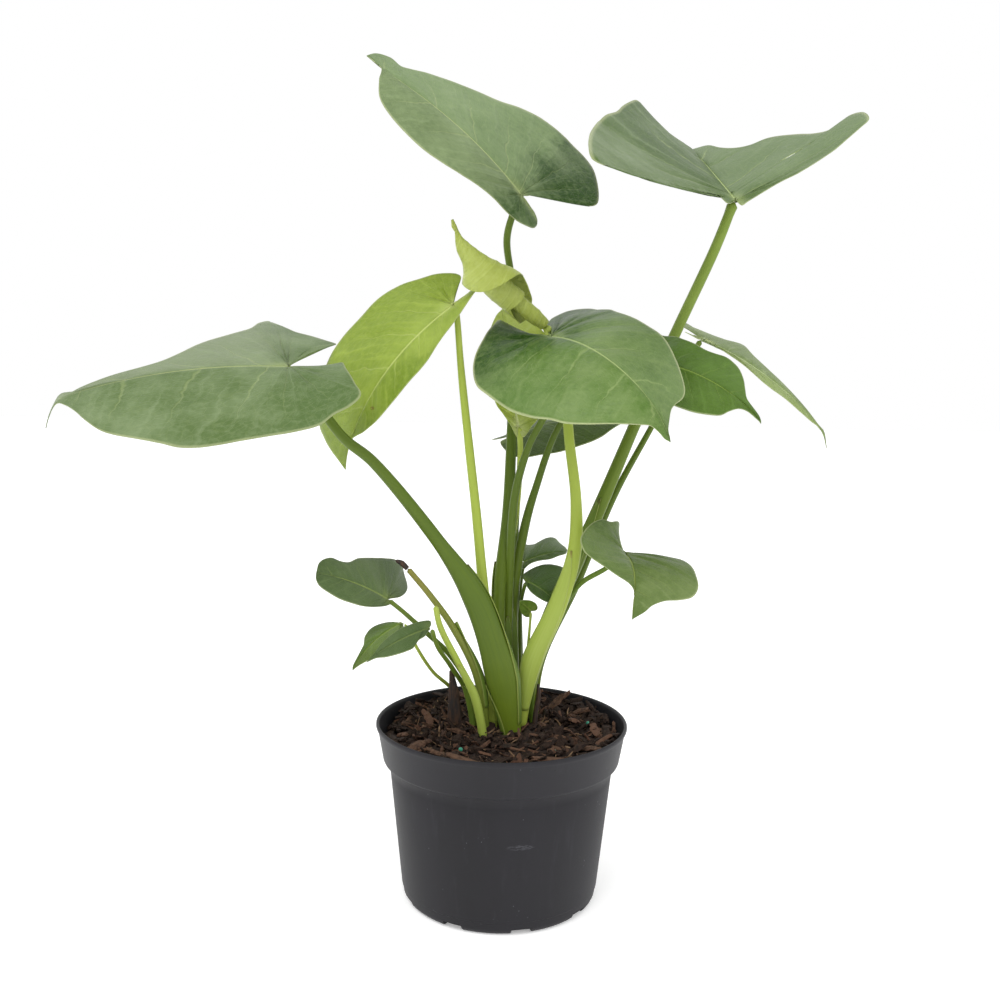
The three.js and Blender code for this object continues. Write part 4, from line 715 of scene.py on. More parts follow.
def scroll_points(t, s):
    """Middle surface of the rolled leaf at t along its axis and s from the inner to the outer margin"""
    step = 1e-3
    ahead = unit(curve_at(SCROLL["axis"], t + step) - curve_at(SCROLL["axis"], t - step))
    side = unit(np.cross(ahead, [0.0, 1.0, 0.0]))
    front = np.cross(ahead, side)
    radius = table_at(t, SCROLL["radii"]) * table_at(s, SCROLL["reach"])
    angle = np.radians(SCROLL["start"]) + 2 * np.pi * table_at(t, SCROLL["turns"]) * (1 - s)
    return (
        curve_at(SCROLL["axis"], t)
        + (radius * np.cos(angle))[:, None] * side + (radius * np.sin(angle))[:, None] * front
    )


def scroll_piece(rows, columns, materials):
    """Rolled leaf with its slanted side veins"""
    share, s = (
        grid.ravel() for grid in
        np.meshgrid(np.linspace(0, 1, rows + 1), np.linspace(0, 1, columns + 1), indexing="ij"))
    mouth = table_at(s, SCROLL["mouth"])
    t = mouth + (1 - mouth) * share
    phase = t * SCROLL_VEINS + s * SCROLL_SLANT
    near_vein = np.abs(phase - np.round(phase)) * 2
    swell = SCROLL_SWELL * (1 - (1 - near_vein) ** 3) * smooth(0, 0.1, s) * (1 - smooth(0.93, 1, s))
    faces = quads(rows, columns)
    layers = {
        "veins": [[(phase[i], s[i]) for i in face] for face in faces],
        "lengths": [[(0.5, 0.3)] * len(face) for face in faces]}
    return sheet_object(
        "blade_rolled_lime", scroll_points(t, s), faces, SCROLL_HALF - swell, SCROLL_HALF + swell,
        materials, layers)


# Stalks

def sweep_frame(path, t):
    """Centres, directions and half widths along a stalk's path"""
    places, widths = np.split(np.array(path, float), [3], axis=1)
    spread = 1e-4
    along = unit(curve_at(places, t + spread) - curve_at(places, t - spread))
    across = unit(np.cross(along, [0, 1, 0]))
    place = t * (len(path) - 1)
    lower = np.minimum(np.floor(place).astype(int), len(path) - 2)
    share = (place - lower)[:, None]
    size = widths[lower] * (1 - share) + widths[lower + 1] * share
    return curve_at(places, t), along, across, np.cross(across, along), size


def path_length(path):
    places = np.array(path, float)[:, :3]
    return float(np.linalg.norm(np.diff(places, axis=0), axis=1).sum())


def stalk_parts(name, path, rings, sides):
    """Closed sweep with a shallow channel behind and a swollen joint under the blade"""
    t = np.linspace(0, 1, rings + 1)
    centre, along, across, back, widths = sweep_frame(path, t)
    length = path_length(path)
    to_top = (1 - t) * length
    swell = 1 + (0 if name in BARE else JOINT_SWELL) * np.exp(-((to_top - JOINT_REACH) / JOINT_REACH) ** 2)
    taper = np.sqrt(np.clip(to_top / END_ROUND, 0, 1)) * (1 - END_SHARE) + END_SHARE
    angle = 2 * np.pi * np.arange(sides) / sides
    channel = 1 - CHANNEL_DEPTH * np.exp(-((angle - np.pi / 2) / CHANNEL_WIDTH) ** 2)
    shape = channel * (1 + 0.012 * np.sin(7 * angle))
    points = []
    for ring in range(rings + 1):
        wander = noise.noise(Vector((t[ring] * 9, widths[0, 0] * 3, len(name)))) * WANDER
        size = widths[ring] * swell[ring] * taper[ring] * (1 + wander)
        wide = np.outer(np.cos(angle) * shape, across[ring] * size[0])
        deep = np.outer(np.sin(angle) * shape, back[ring] * size[1])
        points.extend(centre[ring] + wide + deep)
    corners = []
    for ring, side in np.ndindex(rings, sides):
        low, high = t[ring] * length * LENGTH_UNIT, t[ring + 1] * length * LENGTH_UNIT
        left, right = side / sides, (side + 1) / sides
        corners.append([(left, low), (left, high), (right, high), (right, low)])
    faces = quads(rings, sides, True) + caps(len(points), sides, rings * sides)
    points += [centre[0], centre[-1] + along[-1] * 0.3]
    corners += [[(0.5, 0)] * 3, [(0.5, length * LENGTH_UNIT)] * 3] * sides
    return points, faces, corners


def sheath_parts(path, low, high, middle, wrap, lift, rings=SHEATH_RINGS, columns=SHEATH_COLUMNS):
    """Sheath hugging a stalk between two fractions of its length, narrowing to a point at its top.
    middle is the angle round the stalk that it is centred on and wrap its half angle, in degrees,
    and lift how far its edges stand off."""
    centre, _, across, back, widths = sweep_frame(path, np.linspace(low, high, rings + 1))
    points, uvs = [], []
    for ring in range(rings + 1):
        rise = ring / rings
        narrow = max(0.03, 1 - rise ** 2.2) ** 0.7
        for column in range(columns + 1):
            share = 2 * column / columns - 1
            angle = math.radians(middle + wrap * narrow * share)
            size = widths[ring] + (SHEATH_GAP + lift * abs(share) ** 3 * (0.2 + 0.8 * rise))
            wide, deep = across[ring] * size[0] * math.cos(angle), back[ring] * size[1] * math.sin(angle)
            points.append(centre[ring] + wide + deep)
            uvs.append((0.5 + 0.5 * share, rise))
    faces = quads(rings, columns)
    thickness = np.full(len(points), SHEATH_HALF)
    both, under, rim, edges = thicken(points, faces, thickness, thickness)
    flat = sheet_corners([[uvs[i] for i in face] for face in faces], edges)
    return list(both), faces + under + rim, [flat[i:i + 4] for i in range(0, len(flat), 4)]


def join_parts(parts):
    """Parts as one mesh. Those after the first have the second material."""
    points, faces, corners, slots = [], [], [], []
    for number, (part_points, part_faces, *part_corners) in enumerate(parts):
        start = len(points)
        points.extend(part_points)
        faces.extend(tuple(i + start for i in face) for face in part_faces)
        corners.extend(corner for listed in part_corners for face in listed for corner in face)
        slots.extend([min(number, 1)] * len(part_faces))
    return points, faces, corners, slots


def loose_piece(name, parts, material, smooth_shaded=False):
    points, faces, _, _ = join_parts(parts)
    return make_object(name, points, faces, [material], smooth_shaded=smooth_shaded)


# Pot. Its roundings are offsets in millimetres from the named radii and heights.

def pot_piece(material):
    corners = (
        (BASE_RADIUS, 0, (
            (-BASE_RADIUS, 0.6), (-9, 0.6), (-8, 0), (-BASE_CORNER, 0), (-2.6, 0.5), (-1, 1.9), (-0.2, 3.6),
            (0, BASE_CORNER), (0.55, 8.6), (1, 9), (9.1, 85.5), (8.8, 86.1))),
        (SHOULDER_RADIUS, COLLAR_FOOT, ((-0.3, -1.4), (0.4, -0.4), (2, 0.1))),
        (COLLAR_LOWER_RADIUS, COLLAR_FOOT, ((-1.2, 0.4), (-0.3, 1), (0.2, 2.2))),
        (RIM_RADIUS, POT_HEIGHT, ((-1.3, -4.2), (-0.5, -3.2), (0, -2), (0, -0.9), (-0.4, -0.2), (-1, 0))),
        (RIM_RADIUS - WALL, POT_HEIGHT, ((0.1, -0.3), (-0.4, -1), (-0.7, -2.4))),
        (COLLAR_LOWER_RADIUS - WALL, COLLAR_FOOT, ((0, 3),)),
        (SHOULDER_RADIUS - WALL, COLLAR_FOOT, ((0, -1),)),
        (BASE_RADIUS - WALL, BASE_CORNER, ((0, 1),)),
        (BASE_RADIUS - BASE_CORNER, FLOOR, ((-1, 0), (BASE_CORNER - BASE_RADIUS, 0))),
    )
    profile = [(radius + out, height + up) for radius, height, offsets in corners for out, up in offsets]
    points, faces = [], []
    count = len(profile) - 2
    for segment in range(POT_SEGMENTS):
        angle = 2 * math.pi * segment / POT_SEGMENTS
        for radius, height in profile[1:-1]:
            points.append((radius * math.cos(angle), radius * math.sin(angle), height))
    points += [(0, 0, profile[0][1]), (0, 0, profile[-1][1])]
    bottom, top = len(points) - 2, len(points) - 1
    for segment in range(POT_SEGMENTS):
        here, after = segment * count, (segment + 1) % POT_SEGMENTS * count
        for i in range(count - 1):
            faces.append((here + i, after + i, after + i + 1, here + i + 1))
        faces.append((bottom, after, here))
        faces.append((top, here + count - 1, after + count - 1))
    piece = make_object("nursery_pot", points, faces, [material])
    box_points, box_faces = [], []
    for hole in range(DRAIN_HOLES):
        angle = math.radians(DRAIN_TURN) + hole * 2 * math.pi / DRAIN_HOLES
        cos, sin = math.cos(angle), math.sin(angle)
        first = len(box_points)
        for x in (BASE_RADIUS - DRAIN_DEPTH / 2, BASE_RADIUS + DRAIN_DEPTH / 2):
            for side in (-1, 1):
                for z, inset in ((DRAIN_BELOW, 0), (DRAIN_HEIGHT, 1)):
                    y = side * (DRAIN_WIDTH / 2 - inset)
                    box_points.append((x * cos - y * sin, x * sin + y * cos, z))
        for face in ((0, 1, 3, 2), (4, 6, 7, 5), (0, 4, 5, 1), (2, 3, 7, 6), (0, 2, 6, 4), (1, 5, 7, 3)):
            box_faces.append(tuple(first + i for i in face))
    cut_away(piece, make_object("drain_cutter", box_points, box_faces, [material]), POT_SHARP)
    return piece


# Soil

def soil_top(x, y):
    radius = math.hypot(x, y)
    mound = SOIL_MOUND * max(0, 1 - (radius / MOUND_RADIUS) ** 2)
    share = min(1, max(0, (y - RISE_FROM) / (RISE_TO - RISE_FROM)))
    rise = BACK_RISE * share * share * (3 - 2 * share)
    a, b, c, d = RELIEF_WAVES
    relief = math.sin(x * a + 1.3) * math.cos(y * b) + 0.6 * math.sin(x * c + y * d + 0.4)
    return SOIL_HEIGHT + mound + rise + relief


def soil_piece(material, rings=SOIL_RINGS, sides=SOIL_SIDES):
    """Soil bed whose top has clods and crumbs, clear of the pot's inside"""
    outer = [
        (BASE_RADIUS - BASE_CORNER - 2, FLOOR + SOIL_GAP), (BASE_RADIUS - WALL - SOIL_GAP, BASE_CORNER + 2),
        (SHOULDER_RADIUS - WALL - SOIL_GAP, COLLAR_FOOT - 1),
        (COLLAR_LOWER_RADIUS - WALL - COLLAR_GAP, COLLAR_FOOT + 4),
    ]
    slope = (RIM_RADIUS - COLLAR_LOWER_RADIUS - LIP_SLOPE) / COLLAR_HEIGHT
    rim = COLLAR_LOWER_RADIUS - WALL + slope * (SOIL_HEIGHT - COLLAR_FOOT) - COLLAR_GAP
    loops = outer + [(rim * (1 - ring / rings), None) for ring in range(rings)]
    points = []
    for radius, height in loops:
        for x, y in ring_places(radius, sides):
            if height is None:
                clods = noise.fractal(Vector((x, y, 3)) / CLOD_SIZE, 0.7, 2.1, 5) * CLOD_HEIGHT
                crumbs = abs(noise.noise(Vector((x, y, 9)) / CRUMB_SIZE)) * CRUMB_HEIGHT
                points.append((x, y, soil_top(x, y) + clods + crumbs - 1))
            else:
                points.append((x, y, height))
    last = (len(loops) - 1) * sides
    faces = [(a, b, c, d) for a, d, c, b in quads(len(loops) - 1, sides, True)]
    faces += [(a, c, b) for a, b, c in caps(len(points), sides, last)]
    points += [(0, 0, outer[0][1]), (0, 0, soil_top(0, 0))]
    return make_object("soil_bed", points, faces, [material])


def flake_parts(place, size, angles, dice, stations=6, sides=6):
    """Splintered bark flake, as rough rings from one ragged end to the other"""
    length, width, thick = size
    points = []
    bend = dice.uniform(-FLAKE_BEND, FLAKE_BEND) * length
    turn, tilt, twist = (Matrix.Rotation(angle, 3, axis) for angle, axis in zip(angles, "ZYX"))
    lean = turn @ tilt @ twist
    for station in range(stations):
        share = station / (stations - 1)
        wide = width / 2 * (0.4 + 0.6 * math.sin(math.pi * (0.1 + 0.8 * share))) * dice.uniform(0.75, 1.2)
        deep = thick / 2 * dice.uniform(0.7, 1.2)
        for side in range(sides):
            angle = 2 * math.pi * side / sides
            x = (share - 0.5) * length + dice.uniform(-FLAKE_RAGGED, FLAKE_RAGGED) * length
            y = wide * math.cos(angle) * dice.uniform(0.8, 1.15) + bend * (share - 0.5) ** 2 * 4
            points.append(tuple(lean @ Vector((x, y, deep * math.sin(angle))) + Vector(place)))
    faces = quads(stations - 1, sides, True)
    faces.append(tuple(range(sides)))
    faces.append(tuple(reversed(range((stations - 1) * sides, stations * sides))))
    return points, faces


def scattered_flakes(name, count, lengths, widths, thicks, material, seed, stand):
    """Flakes strewn over the soil, with the spread of their tilt"""
    dice = random.Random(seed)
    parts = []
    for _ in range(count):
        angle = dice.uniform(0, 2 * math.pi)
        radius = STREWN_RADIUS * math.sqrt(dice.uniform(0.01, 1))
        length = dice.uniform(*lengths) * (0.5 + 0.5 * dice.random())
        size = (length, dice.uniform(*widths), dice.uniform(*thicks))
        radius = min(radius, RIM_RADIUS - RIM_CLEARANCE - length / 2)
        x, y = radius * math.cos(angle), radius * math.sin(angle)
        place = (x, y, soil_top(x, y) + dice.uniform(*STREWN_RISES))
        angles = (dice.uniform(0, math.pi), dice.gauss(0, stand), dice.gauss(0, STREWN_TWIST))
        parts.append(flake_parts(place, size, angles, dice))
    return loose_piece(name, parts, material)


def placed_flakes(name, flakes, material, seed):
    """Flakes that stand out in the photograph: x, y, rise, length, width, thickness and three angles"""
    dice = random.Random(seed)
    parts = []
    for x, y, rise, length, width, thick, *angles in flakes:
        place = (x, y, soil_top(x, y) + rise)
        angles = [math.radians(angle) for angle in angles]
        parts.append(flake_parts(place, (length, width, thick), angles, dice, stations=9, sides=8))
    return loose_piece(name, parts, material)


def ball_parts(place, radius, rows=8, columns=12):
    points = []
    for row in range(1, rows):
        tilt = math.pi * row / rows
        height = place[2] + radius * math.cos(tilt)
        for x, y in ring_places(radius * math.sin(tilt), columns):
            points.append((place[0] + x, place[1] + y, height))
    faces = quads(rows - 2, columns, True) + caps(len(points), columns, (rows - 2) * columns)
    points += [(place[0], place[1], place[2] + radius), (place[0], place[1], place[2] - radius)]
    return points, faces


# Materials

def linear(text):
    """Linear colour of a hex colour"""
    values = [int(text[i:i + 2], 16) / 255 for i in (0, 2, 4)]
    return [v / 12.92 if v <= 0.04045 else ((v + 0.055) / 1.055) ** 2.4 for v in values] + [1]


class Surface:
    """Material under construction, with its nodes added one by one"""

    def __init__(self, name):
        self.material = bpy.data.materials.new(name)
        self.material.use_nodes = True
        self.nodes = self.material.node_tree.nodes
        self.links = self.material.node_tree.links
        self.nodes.clear()
        output = self.nodes.new("ShaderNodeOutputMaterial")
        self.shader = self.nodes.new("ShaderNodeBsdfPrincipled")
        self.links.new(self.shader.outputs[0], output.inputs[0])
        self.place = self.node("TexCoord", {}, "Object")

    def feed(self, socket, value):
        if isinstance(value, bpy.types.NodeSocket):
            self.links.new(value, socket)
        else:
            socket.default_value = value

    def node(self, kind, inputs, output=0, **settings):
        """One output of a new node, with its settings and its inputs by number or name"""
        node = self.nodes.new("ShaderNode" + kind)
        for key, value in settings.items():
            setattr(node, key, value)
        for key, value in inputs.items():
            self.feed(node.inputs[key], value)
        return node.outputs[output]

    def layer(self, name):
        """Both values of a UV layer"""
        parts = self.nodes.new("ShaderNodeSeparateXYZ")
        self.feed(parts.inputs[0], self.node("UVMap", {}, uv_map=name))
        return parts.outputs[0], parts.outputs[1]

    def stretched(self, across, times_across, along, times_along):
        """Place made of two values, each multiplied"""
        x, y = self.times(across, times_across), self.times(along, times_along)
        return self.node("CombineXYZ", {0: x, 1: y, 2: 0.0})

    def scaled(self, vector, scale, shift=(0, 0, 0)):
        return self.node("Mapping", {"Vector": vector, "Scale": scale, "Location": shift})

    def noise(self, scale, detail=3.0, rough=0.55, at=None, distortion=0.0):
        return self.node("TexNoise", {
            "Vector": at or self.place, "Scale": scale, "Detail": detail, "Roughness": rough,
            "Distortion": distortion})

    def cells(self, scale, at=None, feature="F1"):
        inputs = {"Vector": at or self.place, "Scale": scale}
        return self.node("TexVoronoi", inputs, "Distance", feature=feature)

    def math(self, operation, a, b=0.0):
        return self.node("Math", {0: a, 1: b}, operation=operation)

    def times(self, a, b):
        return self.math("MULTIPLY", a, b)

    def plus(self, a, b):
        return self.math("ADD", a, b)

    def span(self, value, low, high, start=0.0, end=1.0, kind="SMOOTHSTEP"):
        """A value's stretch from low to high, as one from start to end"""
        inputs = {0: value, 1: low, 2: high, 3: start, 4: end}
        return self.node("MapRange", inputs, interpolation_type=kind)

    def slope(self, value, low, high, start, end):
        return self.span(value, low, high, start, end, "LINEAR")

    def mix(self, share, a, b):
        return self.node("Mix", {0: share, 6: a, 7: b}, 2, data_type="RGBA")

    def paint(self, colour, *coats):
        """Coats over a colour: what masks each, its span and its tint"""
        for mask, *stretch, tint in coats:
            tint = linear(tint) if isinstance(tint, str) else tint
            colour = self.mix(self.span(mask, *stretch), colour, tint)
        return colour

    def specks(self, colour, cells, near, far, cloud, low, high, most, tint):
        """Specks of a colour where a cloud lets them through"""
        mask = self.times(self.span(cells, near, far, 1.0, 0.0), self.span(cloud, low, high, 0.0, most))
        return self.mix(mask, colour, linear(tint))

    def spot(self, centre, radii):
        """Soft mask round a place on the object, in millimetres"""
        shift = [-c / r for c, r in zip(centre, radii)]
        shifted = self.scaled(self.place, [1 / (r * MM) for r in radii], shift)
        return self.span(self.node("VectorMath", {0: shifted}, "Value", operation="LENGTH"), 1.0, 0.6)

    def finish(self, height, distance, strength, **values):
        """The material, with the bump of a height and the values of its shader"""
        if height is not None:
            bump = {"Strength": strength, "Distance": distance, "Height": height}
            self.feed(self.shader.inputs["Normal"], self.node("Bump", bump))
        names = {
            "colour": "Base Color", "rough": "Roughness", "gloss": "Specular IOR Level",
            "soft": "Subsurface Weight", "soft_scale": "Subsurface Scale"}
        for key, value in values.items():
            self.feed(self.shader.inputs[names[key]], value)
        if values.get("soft"):
            self.shader.inputs["Subsurface Radius"].default_value = (1.0, 1.0, 0.35)
        return self.material


def leaf_material(name, look, under=False):
    """Blade surface: a colour for each half and for the back lobes, with veins, streaks and marks"""
    skin = Surface(name)
    q, s = skin.layer("veins")
    u, aside = skin.layer("lengths")
    waver = skin.noise(60, 2)
    q = skin.plus(q, skin.slope(waver, 0.3, 0.7, -0.07, 0.07))
    back = skin.plus(u, skin.slope(waver, 0.3, 0.7, -0.05, 0.05))
    left, right, lobe, light, vein = (linear(tint) for tint in look["tints"])
    patches = skin.noise(20, 4, 0.6)
    streaks = skin.noise(1.0, 3, 0.6, skin.stretched(q, 5.0, s, 0.8))
    mottle = skin.noise(240, 3, 0.6)
    # Painted shade and painted sheen: each half's tint and the darker tint of the back lobes near the joint
    # stand in for how light falls on them. They are darker where a part turns from the light, and greyer and
    # paler where it catches the sheen.
    colour = skin.mix(skin.span(aside, -0.03, 0.03), right, left)
    colour = skin.paint(
        colour, (back, *look["reach"], 1.0, 0.0, lobe), (patches, 0.42, 0.74, 0.0, 0.55, light),
        (patches, 0.26, 0.46, 0.3, 0.0, lobe), (streaks, 0.5, 0.75, 0.0, look["streak"], light),
        (mottle, 0.42, 0.7, 0.0, 0.22, light), (mottle, 0.3, 0.48, 0.12, 0.0, lobe))
    side_vein = skin.math("DIVIDE", skin.math("PINGPONG", q, 0.5), skin.slope(s, 0.0, 0.7, 0.05, 0.018))
    side_vein = skin.times(skin.span(side_vein, 0.2, 1.0, 1.0, 0.0), skin.span(s, 0.3, 0.95, 1.0, 0.15))
    off = skin.math("ABSOLUTE", aside)
    midrib = skin.math("DIVIDE", off, skin.slope(u, 0.0, 1.0, 0.013, 0.003))
    midrib = skin.times(skin.span(midrib, 0.4, 1.0, 1.0, 0.0), skin.span(u, 0.55, 0.95, 1.0, 0.35))
    joint = skin.times(skin.span(off, 0.0, 0.09, 1.0, 0.0), skin.span(u, 0.0, 0.14, 1.0, 0.0))
    network = skin.cells(1.0, skin.stretched(q, 5.0, s, 15.0), "DISTANCE_TO_EDGE")
    network = skin.span(network, 0.0, 0.09, 1.0, 0.0)
    for mask, share in (
            (network, 0.06), (side_vein, look["veins_show"]), (joint, 0.55),
            (midrib, 0.55 if under else 0.75)):
        colour = skin.mix(skin.times(mask, share), colour, vein)
    # Pale margin: a painted highlight along the blade's edge, with the look's edge as its share.
    colour = skin.paint(colour, (s, 0.97, 0.995, 0.0, look["edge"], "c9cf9e"))
    for centre, radii, stain, share in look["marks"]:
        ragged = skin.times(skin.spot(centre, radii), skin.span(skin.noise(500), 0.42, 0.55))
        colour = skin.mix(skin.times(ragged, share), colour, linear(stain))
    if under:
        colour = skin.mix(0.3, colour, light)
    height = skin.times(side_vein, -0.3)
    for mask, share in (
            (network, -0.12), (streaks, 0.9), (patches, 1.2), (midrib, 0.5 if under else -0.5),
            (skin.noise(1400, 2, 0.6), 0.16)):
        height = skin.plus(height, skin.times(mask, share))
    rough = look["rough"] + (0.1 if under else 0)
    return skin.finish(
        height, 0.0008, 1.0, colour=colour, rough=skin.slope(mottle, 0.3, 0.7, rough - 0.05, rough + 0.07),
        gloss=0.22, soft=look["soft"], soft_scale=0.0012)


def stalk_material(name, low, middle, high, reach):
    """Stalk that pales towards the soil, with long fibres and fine speckles. reach is its length."""
    skin = Surface(name)
    around, along = skin.layer("stalk")
    fibres = skin.noise(1.0, 4, 0.6, skin.stretched(around, 26.0, along, 2.2))
    patches = skin.noise(45)
    colour = skin.paint(
        linear(low), (along, 0.0, reach * 0.45, middle), (along, reach * 0.5, reach, high),
        (fibres, 0.35, 0.7, 0.0, 0.25, low), (patches, 0.35, 0.65, 0.0, 0.25, middle))
    colour = skin.specks(colour, skin.cells(900), 0.12, 0.2, skin.noise(130, 2), 0.58, 0.66, 0.35, "6b6a35")
    height = skin.plus(fibres, skin.times(skin.noise(1500, 2), 0.2))
    return skin.finish(
        height, 0.0004, 0.4, colour=colour, rough=skin.slope(patches, 0.3, 0.7, 0.36, 0.5), gloss=0.2,
        soft=0.05, soft_scale=0.0015)


def sheath_material(name, body, edge, tip):
    skin = Surface(name)
    around, along = skin.layer("stalk")
    fibres = skin.noise(1.0, 4, 0.6, skin.stretched(around, 16.0, along, 1.6))
    from_edge = skin.math("ABSOLUTE", skin.math("SUBTRACT", around, 0.5))
    ragged = skin.plus(along, skin.slope(skin.noise(300), 0.3, 0.7, -0.03, 0.03))
    # The edge colour tints the fibres, and the pale rim along the free edges is a painted highlight. The tip
    # colour is the torn brown tip.
    colour = skin.paint(
        linear(body), (fibres, 0.35, 0.8, 0.0, 0.3, edge), (from_edge, 0.44, 0.5, 0.0, 0.8, edge),
        (ragged, 0.96, 1.0, 0.0, 0.8, tip))
    return skin.finish(
        fibres, 0.0004, 0.4, colour=colour, rough=skin.slope(fibres, 0.3, 0.7, 0.4, 0.52), gloss=0.3,
        soft=0.05, soft_scale=0.0015)


def pot_material():
    """Matte charcoal plastic with flow streaks, dust, crumbs of mud and a scuff"""
    skin = Surface("moulded_pot")
    haze = skin.noise(16, 4, 0.6, skin.scaled(skin.place, (1, 1, 0.35)))
    streaks = skin.noise(170, 4, 0.6, skin.scaled(skin.place, (1, 1, 0.12)))
    colour = skin.paint(
        linear("17161a"), (haze, 0.3, 0.75, "1f1e23"), (streaks, 0.55, 0.8, 0.0, 0.25, "323138"))
    dust = skin.noise(55, 3, 0.7)
    colour = skin.specks(colour, skin.cells(330), 0.08, 0.14, dust, 0.58, 0.68, 0.45, "77777f")
    moved = skin.scaled(skin.place, (1, 1, 1), (0.37, 0.11, 0.23))
    crumbs = skin.span(skin.cells(240, moved), 0.10, 0.15, 1.0, 0.0)
    mud = skin.times(crumbs, skin.span(skin.noise(38, 3, 0.7, moved), 0.6, 0.68))
    colour = skin.mix(skin.times(mud, 0.8), colour, linear("120e0c"))
    rubbed = skin.noise(700, at=skin.scaled(skin.place, (0.4, 1, 2)))
    rubbed = skin.span(rubbed, 0.42, 0.6, 0.0, 0.12)
    colour = skin.mix(skin.times(skin.spot((13, -71, 61), (10, 12, 2.2)), rubbed), colour, linear("8a8a93"))
    height = skin.plus(skin.times(skin.noise(1800, 2, 0.6), 0.35), skin.times(mud, 1.6))
    return skin.finish(
        height, 0.0004, 0.4, colour=colour, rough=skin.slope(haze, 0.3, 0.7, 0.46, 0.56), gloss=0.28)


def bark_material(name, dark, light, odd, island=True):
    """Bark or peat, with an odd colour for some chips, or for some patches where island is off"""
    skin = Surface(name)
    fine = skin.noise(320, 5, 0.7, distortion=0.4)
    coarse = skin.noise(70, 3, 0.6)
    colour = skin.paint(linear(dark), (fine, 0.35, 0.7, light))
    if island:
        chance = skin.node("NewGeometry", {}, "Random Per Island")
        colour = skin.paint(colour, (chance, 0.25, 0.95, 0.0, 0.85, odd), (fine, 0.4, 0.65, 0.0, 0.45, dark))
    else:
        colour = skin.paint(colour, (coarse, 0.5, 0.7, 0.0, 0.7, odd))
    height = skin.plus(fine, skin.times(skin.noise(1500), 0.5))
    roughness = skin.slope(coarse, 0.3, 0.7, 0.8, 0.9)
    return skin.finish(height, 0.0012, 0.9, colour=colour, rough=roughness, gloss=0.25)


def prill_material():
    skin = Surface("prill_coat")
    cloud = skin.noise(600)
    colour = skin.paint(linear("1f7a62"), (cloud, 0.35, 0.65, "49a488"))
    return skin.finish(cloud, 0.0002, 0.5, colour=colour, rough=skin.slope(cloud, 0.3, 0.7, 0.3, 0.5))


def dry_material():
    skin = Surface("dry_tissue")
    streak = skin.noise(500, 4, 0.65, skin.scaled(skin.place, (1, 1, 0.15)))
    colour = skin.paint(linear("17100d"), (streak, 0.35, 0.7, "4a3323"))
    return skin.finish(streak, 0.0008, 0.8, colour=colour, rough=skin.slope(streak, 0.3, 0.7, 0.6, 0.85))


def floor_material():
    skin = Surface("studio_floor")
    colour = skin.paint(linear("fafafa"), (skin.noise(5), 0.3, 0.7, "ffffff"))
    skin.shader.inputs["Emission Color"].default_value = (1, 1, 1, 1)
    skin.shader.inputs["Emission Strength"].default_value = 0.3
    return skin.finish(None, 0, 0, colour=colour, rough=0.9, gloss=0.1)


def look(tints, veins=0, relief=0, **special):
    """A leaf's looks: the tints of its left half, right half and back lobes, its light tint and its
    veins, how many side veins each half has, and how far it puckers between them. reach holds the
    fractions of the length between which the lobes' tint gives way to the halves'."""
    # edge is the share of the pale margin that is painted as a highlight.
    usual = {
        "reach": (-0.1, 0.16), "rough": 0.42, "soft": 0.0, "streak": 0.5, "veins_show": 0.25,
        "edge": 0.4, "marks": ()}
    return {"tints": tints.split(), "veins": veins, "relief": relief, **usual, **special}


# Tints of each leaf: left half, right half, back lobes, light tint and veins. The halves' and lobes' tints
# hold painted shade and painted sheen over each leaf's own green.
LOOKS = {
    "leaf_top_left": look("6a7c51 6c8252 2b4a10 8d9f72 a9b67c",
        9, 0.45, reach=(-0.05, 0.12), streak=0.25),
    # The dark left half is painted shade, where this wing curls away from the light.
    "leaf_top_right": look("34500a 64784e 46601c 788a62 a8b878",
        8, 0.7, streak=0.5, veins_show=0.35),
    "leaf_big_left": look("516832 74825f 4b642b 84956c a3b074", 9, 0.5, streak=0.35),
    "leaf_hanging_lime": look("6c8420 7c9132 758a1c a0b24c bcc974",
        8, 0.7, rough=0.38, soft=0.2, streak=0.4, marks=(
        ((-56, -15, 349), (3, 40, 1.6), "5a2d12", 0.9),
        ((-50, -15, 352), (3, 40, 1.6), "5a2d12", 0.8),
        ((-72, -20, 324), (2, 40, 1.5), "6b3a12", 0.6),
        ((-88, -20, 330), (2, 40, 1.5), "6b3a12", 0.6),
    )),
    "leaf_front_centre": look("647b47 52702c 234408 7d9158 a6b878",
        8, 1.2, reach=(-0.1, 0.3), rough=0.38, streak=0.3, edge=0.6),
    "leaf_low_back": look("42581c 4a6024 384e14 5c7234 7f9048", 7, 0.4),
    "leaf_right_dark": look("4a6722 456214 3c580c 5f7e34 7f9844", 7, 0.8, rough=0.38),
    "leaf_right_narrow": look("6a7f42 8c9e5e 667c34 9aaa76 bccb94", 7, 0.5, veins_show=0.15),
    "leaf_upright_lime": look("9bab40 a2b04c 84963a b8c47c c8d092",
        6, 0.4, rough=0.38, soft=0.25, marks=(
        ((-13, -22, 413), (6, 30, 4), "4b4a1c", 0.8),
    )),
    "leaf_small_left": look("50633a 53663c 40562a 687a4c 84954f", 6, 0.4),
    "leaf_small_tip": look("526620 466010 44601c 6b853c 8aa04a", 5, 0.3),
    "leaf_small_fold": look("4a6030 4e6436 3c5226 62744a 7c8e52", 5, 0.3),
    "leaf_small_right": look("566c30 5c7236 40581e 7c8c56 8fa04e", 7, 0.6, rough=0.36),
    "leaf_inner_upper": look("506a30 506a30 3c5420 62783e 80944e", 5, 0.3),
    "leaf_inner_lower": look("46602a 46602a 3c5420 566c34 788c46", 5, 0.3),
    "leaf_inner_bud": look("628028 628028 547020 809a40 98ac52", 4, 0.2),
    "leaf_rolled_lime": look("9aa54b 9aa54b a6b456 bcc878 8a9a3c",
        rough=0.38, soft=0.25, streak=0.35, veins_show=0.4),
}

# Leaves
LIME = ("leaf_hanging_lime", "leaf_upright_lime", "leaf_rolled_lime")


def both_faces(name):
    return [leaf_material(name + side, LOOKS[name], side == "_back") for side in ("_face", "_back")]


